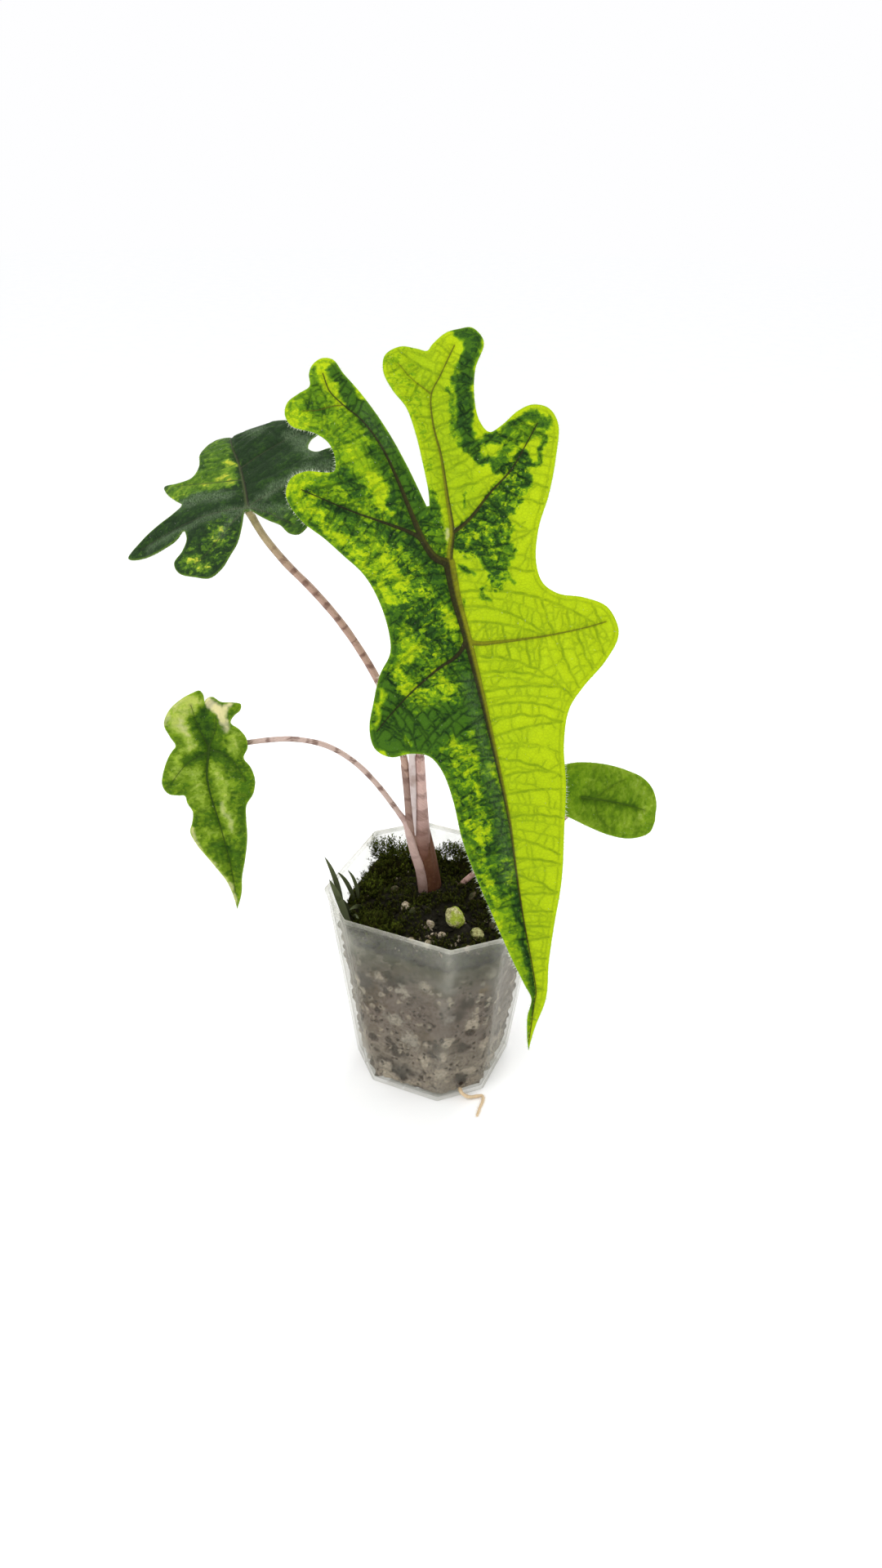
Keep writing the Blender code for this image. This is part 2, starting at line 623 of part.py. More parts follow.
def stone_body(centre, radius, lift, seed, size):
    """An uneven ball, a little flat, half sunk in the mix. SIZE fixes its middle."""
    draw = random.Random(seed)
    middle = Vector((centre[0], centre[1], soil_height(*centre) + lift * size * 0.5))
    turn = Euler([draw.uniform(0, math.tau) for _ in range(3)]).to_matrix()
    stretch = Vector((1.0, draw.uniform(*STONE_ACROSS), draw.uniform(*STONE_HIGH)))
    ball = bmesh.new()
    bmesh.ops.create_icosphere(ball, subdivisions=2, radius=1.0)
    points = []
    for vert in ball.verts:
        shaped = Vector((vert.co[k] * stretch[k] for k in range(3)))
        bump = size * draw.uniform(*STONE_BUMPS)
        points.append(middle + turn @ (shaped * bump + vert.co * (radius - size)))
    faces = [tuple(corner.index for corner in face.verts) for face in ball.faces]
    ball.free()
    return points, faces


def stone_list():
    """Each grain and lump with its own seed."""
    stones = [(*grain, GRAIN_SEED + i) for i, grain in enumerate(GRAINS)]
    return stones + [(*lump[1:], LUMP_SEED + i) for i, lump in enumerate(LUMPS)]


def build_stones():
    names = ["pumice_%02d" % (i + 1) for i in range(len(GRAINS))]
    names += [name for name, *_ in LUMPS]
    for name, (centre, radius, lift, seed) in zip(names, stone_list()):
        kind = "grain" if name.startswith("pumice") else "green_lump"
        add_solid(name, *stone_body(centre, radius, lift, seed, radius), kind)


def inside_patch(x, y, centre, halves, turn):
    """How far a place is from the patch's middle: under 1 is inside."""
    angle = math.radians(turn)
    dx = x - centre[0]
    dy = y - centre[1]
    along = dx * math.cos(angle) + dy * math.sin(angle)
    across = dy * math.cos(angle) - dx * math.sin(angle)
    return math.hypot(along / halves[0], across / halves[1])


def patch_faces(top, centre, halves, turn):
    """The triangles of the mix's top that a cushion covers."""
    points, faces, _ = top
    chosen = []
    for face in faces:
        middle = sum((points[index] for index in face), Vector()) / 3
        if inside_patch(middle.x, middle.y, centre, halves, turn) < 1:
            chosen.append(face)
    return largest_group(chosen)


def largest_group(faces):
    """The largest set of faces that hang together by whole edges."""
    left = list(faces)
    best = []
    while left:
        group = [left.pop()]
        for face in group:
            for other in [other for other in left if len(set(face) & set(other)) == 2]:
                left.remove(other)
                group.append(other)
        if len(group) > len(best):
            best = group
    return best


def open_edges(faces):
    """Edges that only one of the faces has, in the direction that face runs."""
    edges = set()
    for face in faces:
        edges.update(zip(face, face[1:] + face[:1]))
    return [(a, b) for a, b in edges if (b, a) not in edges]


def moss_mat(top, centre, halves, turn, height):
    """A low cushion whose underside follows the mix and whose top is domed."""
    points = top[0]
    chosen = patch_faces(top, centre, halves, turn)
    used = sorted({index for face in chosen for index in face})
    slot = {index: i for i, index in enumerate(used)}
    low = [points[index] + Vector((0.0, 0.0, GAP)) for index in used]
    high = []
    for point in low:
        share = min(1.0, inside_patch(point.x, point.y, centre, halves, turn))
        high.append(point + Vector((0.0, 0.0, blend(height, MOSS_EDGE, share ** 2))))
    count = len(used)
    body = []
    for face in chosen:
        a, b, c = (slot[index] for index in face)
        body.append((a + count, b + count, c + count))
        body.append((c, b, a))
    for first, second in sorted(open_edges(chosen)):
        a = slot[first]
        b = slot[second]
        body.append((a, b, b + count, a + count))
    return low + high, body


def shoot_body(root, lean, length, radius):
    """A bent, tapering moss shoot."""
    route = [root, root + Vector((lean.x * 0.3, lean.y * 0.3, 0.6)) * length,
             root + Vector((lean.x, lean.y, 1.0)) * length]
    return tube(route, (radius, radius * 0.85, radius * 0.3), 3, tip=0.5)


def union(core, shoots, name):
    """Join the shoots to the core in one closed body."""
    pieces = bpy.data.collections.new(name + "_shoots")
    bpy.context.scene.collection.children.link(pieces)
    for i, (points, faces) in enumerate(shoots):
        shoot = add_solid("%s_shoot_%d" % (name, i), points, faces)
        bpy.context.collection.objects.unlink(shoot)
        pieces.objects.link(shoot)
    modifier = core.modifiers.new("shoots", "BOOLEAN")
    modifier.operation = "UNION"
    modifier.solver = "MANIFOLD"
    modifier.operand_type = "COLLECTION"
    modifier.collection = pieces
    bpy.context.view_layer.update()
    joined = bpy.data.meshes.new_from_object(core.evaluated_get(bpy.context.evaluated_depsgraph_get()))
    core.modifiers.clear()
    core.data = joined
    for shoot in list(pieces.objects):
        bpy.data.objects.remove(shoot, do_unlink=True)
    bpy.data.collections.remove(pieces)


def mat_top(place, mat, margin):
    """Height of the cushion's top at a place, or None within MARGIN of its rim."""
    points, faces = mat
    upper = [face for face in faces if len(face) == 3 and min(face) >= len(points) // 2]
    for a, b in open_edges(upper):
        if distance_to(place, [points[a].xy, points[b].xy]) < margin:
            return None
    for face in upper:
        corners = [points[index] for index in face]
        flat = [corner.xy.to_3d() for corner in corners]
        if is_inside(place, [corner.xy for corner in corners]):
            shares = poly_3d_calc(flat, place.to_3d())
            return sum(corner.z * share for corner, share in zip(corners, shares))
    return None


def moss_shoots(mat, patch, seed):
    """Shoots spread evenly over a cushion by a sunflower rule, leaning a little outwards."""
    _, centre, halves, turn, _, count = patch
    draw = random.Random(seed)
    angle = math.radians(turn)
    shoots = []
    for i in range(count):
        share = math.sqrt((i + 0.5) / count) * 0.92
        around = i * math.radians(137.5)
        along = halves[0] * share * math.cos(around)
        across = halves[1] * share * math.sin(around)
        place = Vector((centre[0] + along * math.cos(angle) - across * math.sin(angle),
                        centre[1] + along * math.sin(angle) + across * math.cos(angle)))
        lean = (place - Vector(centre)) * 0.05
        lean += Vector((draw.uniform(-0.3, 0.3), draw.uniform(-0.3, 0.3)))
        length = draw.uniform(*SHOOT_LENGTH)
        crest = mat_top(place, mat, SHOOT_RADIUS * 1.4)
        if crest is None or not clear_of_pot(place + lean * length, 1.2):
            continue
        root = Vector((place.x, place.y, crest - SHOOT_ROOT))
        shoots.append(shoot_body(root, lean, length, SHOOT_RADIUS))
    return shoots


def clear_of_pot(place, margin):
    edge = [point.xy for point in pot_ring(SOIL_EDGE, soil_inset() + margin)]
    return is_inside(place, edge)


def sprig_bodies(mat):
    """Three longer dark sprigs that stand up at the left rim."""
    bodies = []
    for (x, y), lean, length in SPRIGS:
        crest = mat_top(Vector((x, y)), mat, SPRIG_RADIUS)
        root = Vector((x, y, crest - SHOOT_ROOT))
        bodies.append(shoot_body(root, Vector(lean), length, SPRIG_RADIUS))
    return bodies


def build_moss(top):
    for i, patch in enumerate(MOSS):
        name, centre, halves, turn, height, _ = patch
        mat = moss_mat(top, centre, halves, turn, height)
        core = add_solid(name, *mat, "moss")
        shoots = moss_shoots(mat, patch, MOSS_SEED + i)
        if name == "moss_left":
            shoots += sprig_bodies(mat)
        union(core, shoots, name)


def is_inside(point, loop):
    inside = False
    for first, second in zip(loop, loop[1:] + loop[:1]):
        if (first.y > point.y) != (second.y > point.y):
            share = (point.y - first.y) / (second.y - first.y)
            if point.x < blend(first.x, second.x, share):
                inside = not inside
    return inside


def distance_to(point, line, closed=False):
    """Shortest way from a point to a line of points."""
    best = 1e9
    seconds = line[1:] + line[:1] if closed else line[1:]
    for first, second in zip(line, seconds):
        run = second - first
        share = max(0.0, min(1.0, (point - first).dot(run) / max(run.length_squared, 1e-12)))
        best = min(best, (point - first - run * share).length)
    return best


def hex_points(loop, lines, spacing, clear):
    """Evenly spread points inside LOOP that keep off its edge and off LINES."""
    low_x = min(point.x for point in loop)
    high_x = max(point.x for point in loop)
    low_y = min(point.y for point in loop)
    high_y = max(point.y for point in loop)
    row_step = spacing * math.sqrt(3) / 2
    points = []
    for row in range(int((high_y - low_y) / row_step) + 1):
        y = low_y + row * row_step
        shift = spacing / 2 if row % 2 else 0.0
        for column in range(int((high_x - low_x) / spacing) + 1):
            point = Vector((low_x + column * spacing + shift, y))
            if not is_inside(point, loop) or distance_to(point, loop, True) < spacing * clear:
                continue
            if any(distance_to(point, line) < spacing * clear for line in lines):
                continue
            points.append(point)
    return points


def page(points):
    """Outline points, which count towards the tip, as places with the tip down the page."""
    return [Vector((right, -tipward)) for right, tipward in points]


def blade_plan(leaf):
    """Triangles of a flat blade: its points and faces, and its veins as lines."""
    left, right = (smooth_line(page(stroke), leaf.spacing * 0.6) for stroke in leaf.strokes)
    rim = left[:-1] + right
    veins = [smooth_line(page(vein), leaf.spacing * 0.8) for vein in leaf.veins]
    points = list(rim)
    edges = [(i, (i + 1) % len(rim)) for i in range(len(rim))]
    for vein in veins:
        start = len(points)
        points += vein
        edges += [(start + i, start + i + 1) for i in range(len(vein) - 1)]
    points += hex_points(rim, veins, leaf.spacing, 0.62)
    flat, _, faces, *_ = delaunay_2d_cdt(points, edges, [], 1, 1e-3)
    return flat, [tuple(face) for face in faces], veins


def walk(knots, distance):
    """Run and rise after DISTANCE along a line whose slope changes evenly between knots."""
    steps = max(1, math.ceil(abs(distance) / 1.5))
    step = distance / steps
    run = 0.0
    rise = 0.0
    for i in range(steps):
        slope = math.radians(slope_at(knots, step * (i + 0.5)))
        run += step * math.cos(slope)
        rise += step * math.sin(slope)
    return run, rise


def slope_at(knots, distance):
    if distance <= knots[0][0]:
        return knots[0][1]
    for (near, first), (far, second) in zip(knots, knots[1:]):
        if distance <= far:
            return blend(first, second, (distance - near) / (far - near))
    return knots[-1][1]


def midrib_x(leaf, y):
    """How far the midrib stands to the right at a height on the page."""
    spine = page(leaf.veins[0])
    if y >= spine[0].y:
        return spine[0].x
    for high, low in zip(spine, spine[1:]):
        if y >= low.y:
            return blend(low.x, high.x, (y - low.y) / (high.y - low.y))
    return spine[-1].x


def leaf_point(leaf, point):
    """Where a place on the flat blade goes when the blade is bent and waved."""
    middle = midrib_x(leaf, point.y)
    run, rise = walk(leaf.along, -point.y)
    slope = math.radians(slope_at(leaf.along, -point.y))
    offset = point.x - middle
    profile = leaf.across[0] if offset < 0 else leaf.across[1]
    out, up = walk(profile, abs(offset))
    height, length, start = leaf.wave
    edge = min(1.0, abs(offset) / WAVE_REACH)
    up += height * edge * math.sin(math.tau * (start - point.y + offset * 0.4) / length)
    side = math.copysign(out, offset)
    return Vector((middle + side, -run + up * math.sin(slope), rise + up * math.cos(slope)))


def leaf_normal(leaf, point):
    step = 0.4
    across = leaf_point(leaf, point + Vector((step, 0))) - leaf_point(leaf, point - Vector((step, 0)))
    down = leaf_point(leaf, point + Vector((0, step))) - leaf_point(leaf, point - Vector((0, step)))
    return across.cross(down).normalized()


def leaf_matrix(leaf):
    lean, roll, swing = (math.radians(turn) for turn in leaf.turns)
    turned = Matrix.Rotation(lean, 3, "X") @ Matrix.Rotation(roll, 3, "Y")
    return turned @ Matrix.Rotation(swing, 3, "Z")


def build_leaf(leaf):
    """A blade that is split alike on both faces, grooved over its veins and ribbed under."""
    flat, faces, veins = blade_plan(leaf)
    turned = leaf_matrix(leaf)
    upper = []
    lower = []
    for point in flat:
        near = min(distance_to(point, vein) for vein in veins)
        vein = max(0.0, 1 - near / RIB_REACH)
        middle = leaf_point(leaf, point)
        normal = leaf_normal(leaf, point)
        top = middle + normal * (BLADE / 2 - GROOVE * vein)
        bottom = middle - normal * (BLADE / 2 + RIB * vein)
        upper.append(leaf.junction + turned @ top)
        lower.append(leaf.junction + turned @ bottom)
    count = len(flat)
    body = []
    for a, b, c in faces:
        body.append((a, b, c))
        body.append((c + count, b + count, a + count))
    for a, b in sorted(open_edges(faces)):
        body.append((a + count, b + count, b, a))
    add_solid(leaf.name, upper + lower, body, leaf.name, smooth=50)


def blade_foot(leaf):
    """End of the stalk: just clear of the rib under the place where stalk and blade meet."""
    down = leaf_matrix(leaf) @ Vector((0.0, 0.0, -1.0))
    start = leaf.junction + leaf_matrix(leaf) @ leaf_point(leaf, page([leaf.veins[0][0]])[0])
    depth = BLADE / 2 + RIB + GAP
    return [start + down * (depth + 3.0), start + down * (depth + 0.5)]


def stalk_routes():
    """The four stalks as even points, each with its radii and its number of sides."""
    main, back, low, oval = LEAVES
    routes = {
        "petiole_main": (PETIOLE_MAIN, main, 5.0, (1.7, 1.45), 8),
        "petiole_back": (PETIOLE_BACK, back, 4.6, (1.35, 1.2), 8),
        "petiole_low": (PETIOLE_LOW, low, 3.4, (1.0, 0.9), 7),
        "petiole_oval": (PETIOLE_OVAL, oval, 4.0, (1.1, 1.0), 7),
    }
    made = {}
    for name, (route, leaf, spacing, radii, sides) in routes.items():
        points = [Vector(point) for point in route] + blade_foot(leaf)
        made[name] = (smooth_line(points, spacing), radii, sides)
    return made


def build_stalks(routes):
    for name, (route, radii, sides) in routes.items():
        body = tube(route, taper(len(route), *radii), sides)
        add_solid(name, *body, "petiole", smooth=60)


def build_stem(routes):
    """The sheathed stem base, with a socket for each stalk that comes out of it."""
    route = [Vector(point) for point in STEM_ROUTE]
    body = tube(route, STEM_HALF_WIDTHS, 14, STEM_HALF_DEPTHS, tip=0.85)
    stem = add_solid("stem_base", *body, "stem", smooth=40)
    sockets = []
    for name in ("petiole_main", "petiole_back", "petiole_low"):
        path, radii, sides = routes[name]
        sockets.append(socket_body(path, radii[0] * 1.04, STALK_SOCKET, sides))
    for i, body in enumerate(sockets):
        cut(stem, add_solid("stem_cutter_%d" % i, *body))


def build_root():
    route = smooth_line([Vector(point) for point in ROOT_ROUTE], 2.2)
    add_solid("root_tip", *tube(route, taper(len(route), *ROOT_RADII), 6), "root", smooth=60)


def main():
    clear_scene()
    routes = stalk_routes()
    stem = [Vector(point) for point in STEM_ROUTE]
    oval = routes["petiole_oval"]
    top = soil_top()
    build_pot()
    build_soil(top, ((stem, STEM_HALF_WIDTHS[1]), (oval[0], oval[1][0])), stone_list())
    build_stones()
    build_moss(top)
    build_stem(routes)
    build_stalks(routes)
    for leaf in LEAVES:
        build_leaf(leaf)
    build_root()


main()
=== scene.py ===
"""Potted alocasia: the looks of a young plant with lobed leaves in a clear nursery pot.

It is laid out as a Blender 4.5 add-on and runs as a script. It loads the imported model, makes
a detailed piece for each of the plant's parts and sets the stage. Lengths in the code are
millimetres unless a property says otherwise, and angles are degrees.
"""
import math
import random
from dataclasses import dataclass

import bmesh
import bpy
import numpy as np
from bpy.props import FloatProperty, FloatVectorProperty, IntProperty, PointerProperty
from mathutils import Euler, Matrix, Vector, noise
from mathutils.geometry import delaunay_2d_cdt
from mathutils.kdtree import KDTree


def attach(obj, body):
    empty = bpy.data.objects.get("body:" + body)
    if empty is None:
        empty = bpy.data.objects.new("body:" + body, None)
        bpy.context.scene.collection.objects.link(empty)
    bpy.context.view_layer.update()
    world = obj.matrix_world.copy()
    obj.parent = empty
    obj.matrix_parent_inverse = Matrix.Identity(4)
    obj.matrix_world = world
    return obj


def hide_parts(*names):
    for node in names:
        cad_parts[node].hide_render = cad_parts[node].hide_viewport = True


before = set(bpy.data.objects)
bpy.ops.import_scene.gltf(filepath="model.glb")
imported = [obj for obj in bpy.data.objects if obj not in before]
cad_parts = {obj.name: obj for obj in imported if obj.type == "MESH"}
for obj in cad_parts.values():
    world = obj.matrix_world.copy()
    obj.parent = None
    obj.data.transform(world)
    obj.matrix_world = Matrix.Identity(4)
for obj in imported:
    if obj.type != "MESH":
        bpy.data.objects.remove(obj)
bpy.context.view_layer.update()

bl_info = {
    "name": "Potted Alocasia",
    "version": (1, 0, 0),
    "blender": (4, 5, 0),
    "location": "3D View > Sidebar > Alocasia",
    "description": "Makes a young potted alocasia with lobed, variegated leaves",
    "category": "Add Mesh",
}

MM = 0.001
WANDER_SEED = 3  # noise vectors follow the clock unless they are seeded
HAIR_SEED = 11
ROOT_SEED = 5
CHIP_SEED = 8
GRAIN_SEED = 20
LUMP_SEED = 60
MOSS_SEED = 21


def tone(red, green, blue):
    """Linear colour from the 0 to 255 values that a picture shows."""
    shares = (red / 255, green / 255, blue / 255)
    return tuple(s / 12.92 if s < 0.04045 else ((s + 0.055) / 1.055) ** 2.4 for s in shares)


def colour(name, description, *values):
    return FloatVectorProperty(name=name, description=description, subtype="COLOR", size=3,
                               min=0.0, max=1.0, default=tone(*values))


def length(name, description, millimetres):
    return FloatProperty(name=name, description=description, unit="LENGTH", subtype="DISTANCE",
                         min=0.0, default=millimetres * MM)


def share(name, description, value):
    return FloatProperty(name=name, description=description, subtype="FACTOR", min=0.0, max=1.0,
                         default=value)


class ALOCASIA_PG_leaf(bpy.types.PropertyGroup):
    lime: colour("Lime", "Main blade where it has least green", 182, 205, 12)
    light_green: colour("Light green", "Main blade between lime and mid green", 140, 176, 12)
    mid_green: colour("Mid green", "Main blade's commonest green", 100, 142, 16)
    dark_green: colour("Dark green", "Main blade's dark flecks", 66, 108, 20)
    deep_green: colour("Deep green", "Main blade where it is darkest", 42, 79, 22)
    mesh_step: length("Mesh step", "Spacing of the main blade's mesh", 0.46)
    blade: length("Blade", "Thickness of the leaf blade", 0.45)
    puff: length("Puff", "How far the blade swells between its side veins", 0.36)
    quilt: length("Quilt", "How far the blade swells between its finest veins", 0.13)
    groove: length("Groove", "Depth of the channel over the main veins", 0.3)
    rib_depth: length("Rib depth", "How far the main veins stand out below", 0.7)
    hair: length("Hair", "Length of the fine hairs at the edge", 0.75)
    glow: share("Glow", "Share of light that passes through the blade", 0.36)


class ALOCASIA_PG_stalk(bpy.types.PropertyGroup):
    skin: colour("Skin", "Stalks and stem", 196, 160, 150)
    band: colour("Bands", "Dark bands across the stalks", 104, 70, 58)
    fresh: colour("Fresh", "Stalk near the blade", 176, 164, 114)
    foot: colour("Foot", "Stem where it leaves the mix", 74, 42, 26)
    sheath: colour("Sheath", "Papery sheath on the stem", 220, 206, 204)
    sides: IntProperty(name="Sides", description="Faces round a stalk", min=6, default=20)


class ALOCASIA_PG_pot(bpy.types.PropertyGroup):
    plastic: colour("Plastic", "Haze of the clear plastic", 216, 213, 200)
    haze: share("Haze", "How much each face of the wall hides what is behind it", 0.1)
    roughness: share("Roughness", "Dullness of the plastic", 0.26)


class ALOCASIA_PG_mix(bpy.types.PropertyGroup):
    earth: colour("Earth", "Fine mix", 124, 111, 101)
    bark: colour("Bark", "Dark bits of bark", 54, 42, 33)
    stone: colour("Stone", "Pale grains", 200, 188, 168)
    damp: colour("Damp", "Wet top of the mix", 17, 14, 9)
    algae: colour("Algae", "Green on the two rounder lumps", 142, 160, 30)
    lump: length("Lump", "Size of the mix's lumps", 6.0)


class ALOCASIA_PG_moss(bpy.types.PropertyGroup):
    shade: colour("Shade", "Moss deep in the cushion", 9, 11, 4)
    tip: colour("Tips", "Moss at the shoots' ends", 78, 92, 22)
    density: FloatProperty(name="Density", description="Shoots to a square millimetre",
                           min=0.1, default=1.25)
    leaflet: length("Leaflet", "Length of a moss leaf", 1.2)


class ALOCASIA_PG_stage(bpy.types.PropertyGroup):
    floor: colour("Floor", "Pale floor", 255, 255, 255)
    sky: colour("Sky", "White surroundings", 254, 254, 255)
    key: FloatProperty(name="Key", description="Power of the soft light above", unit="POWER",
                       default=1.9)
    rear: FloatProperty(name="Rear", description="Power of the light behind", unit="POWER",
                        default=1.5)


# Leaves are drawn as seen with the upper side up and the tip down the page. A point is (to
# the right, towards the tip) from where the stalk meets the blade, in millimetres.
MAIN_LEFT = (
    (-3.7, -17.2), (-7.3, -29.5), (-11.3, -40.5), (-17, -52.5), (-21, -59.5),
    (-23.5, -64.5), (-26.8, -65.5), (-29.8, -63.9), (-31, -61.5), (-31.4, -57.8),
    (-34.8, -56.3), (-38.5, -54.3), (-39.8, -50.8), (-38.3, -46.8), (-32, -43.2),
    (-28.5, -39.5), (-27.4, -34.5), (-28.3, -31.3), (-31.5, -31.5), (-36, -32.6),
    (-40.8, -31.5), (-43.1, -27.5), (-42.4, -23.5), (-39.5, -18.5), (-34.5, -13.3),
    (-29.5, -7), (-25, -1), (-22, 6.7), (-20.5, 16), (-21.1, 22.8),
    (-25, 28.3), (-28.3, 36), (-30.7, 43.3), (-30, 49.3), (-26, 52.3),
    (-20, 52.3), (-15, 53.9), (-12, 58.7), (-10.3, 67.3), (-9.5, 79.5),
    (-6.8, 93), (-4.3, 103), (-1.3, 115), (1.5, 124.5), (2.8, 129),
    (0.8, 134), (-0.2, 140), (-0.5, 144),
)
MAIN_RIGHT = (
    (-0.5, 144), (2.5, 137.5), (7, 129.5), (9.5, 119), (12.5, 109),
    (17, 95.5), (20.3, 80.5), (22.7, 68.7), (24, 56.7), (27, 47.3),
    (32, 41.7), (39.3, 35.7), (44.3, 29.7), (45.1, 26), (43, 19.7),
    (36.7, 15.9), (29.7, 13.7), (25.7, 10), (24.7, 4), (26.8, -5),
    (31.5, -14.5), (35.3, -24.5), (37.9, -35), (36, -39.8), (31.5, -41.5),
    (27, -40.3), (21.5, -36.8), (17.8, -35.4), (15.6, -38.5), (15, -44.5),
    (16.8, -54), (20.4, -60.5), (20.2, -63), (17.8, -66.4), (14.3, -66.7),
    (10.3, -66.3), (5.8, -63.6), (4, -62), (1, -63.4), (-3.5, -64.7),
    (-8.3, -62.8), (-9.6, -58), (-7.8, -52), (-4.8, -46.5), (-3.4, -39),
    (-2.7, -29), (-2.5, -21), (-2.9, -17.2),
)
# Main veins: half widths at both ends, spacing of the side veins left and right, how dark the
# vein is on its left and its right, points
MAIN_RIBS = (
    ((1.75, 0.14), (5.2, 5.6), (1, 0.25),
     ((0, 0), (0.3, 10), (1.5, 21.3), (3, 39.3), (3.9, 54), (4.7, 69.3), (4.9, 78),
      (4.5, 90), (4.3, 105), (4.6, 120), (4.4, 127.5), (3.2, 131), (1.6, 136.5),
      (0, 141.5))),
    ((1, 0.16), (6, 6), (0.75, 0.1),
     ((0, 0), (1, -4), (2.3, -8.5), (2.6, -19), (2.8, -31), (2.1, -40),
      (3, -49), (6.5, -54), (12, -62))),
    ((0.2, 0.1), (7, 7), (0.2, 0.2),
     ((3, -49), (1.5, -51), (-2, -55), (-5, -60))),
    ((0.65, 0.16), (6, 5.5), (0.7, 0.9),
     ((2.3, -8.5), (5, -9.7), (8.5, -12), (15, -18), (22, -23.5), (27, -29.5),
      (32, -36))),
    ((1.25, 0.15), (6, 6.5), (0.7, 1),
     ((0, 0), (-3.5, -2), (-6, -6.5), (-8.3, -15.5), (-10.8, -26.5), (-13.8, -36.5),
      (-18, -44.5), (-22.5, -50), (-25.8, -55), (-27, -61))),
    ((0.2, 0.1), (7, 7), (0.4, 0.4),
     ((-22.5, -50), (-26, -50.3), (-30, -50), (-34.5, -50.8))),
    ((0.75, 0.14), (6, 5.5), (1, 1),
     ((-6, -6.5), (-8, -9.3), (-15, -13.8), (-24, -18.8), (-32.5, -24),
      (-38.5, -27.8))),
    ((0.8, 0.16), (5, 5.2), (0.4, 0.2),
     ((1.3, 21.3), (2.6, 23.4), (5.3, 24.3), (10, 24.7), (23.3, 25.2), (36, 24.7),
      (42, 24))),
    ((0.7, 0.14), (4.6, 4.8), (1, 1),
     ((0.9, 23), (-0.7, 25.3), (-3.3, 27.3), (-7.3, 29), (-16.7, 34.7), (-25.3, 41.3),
      (-28.7, 44.3))),
)
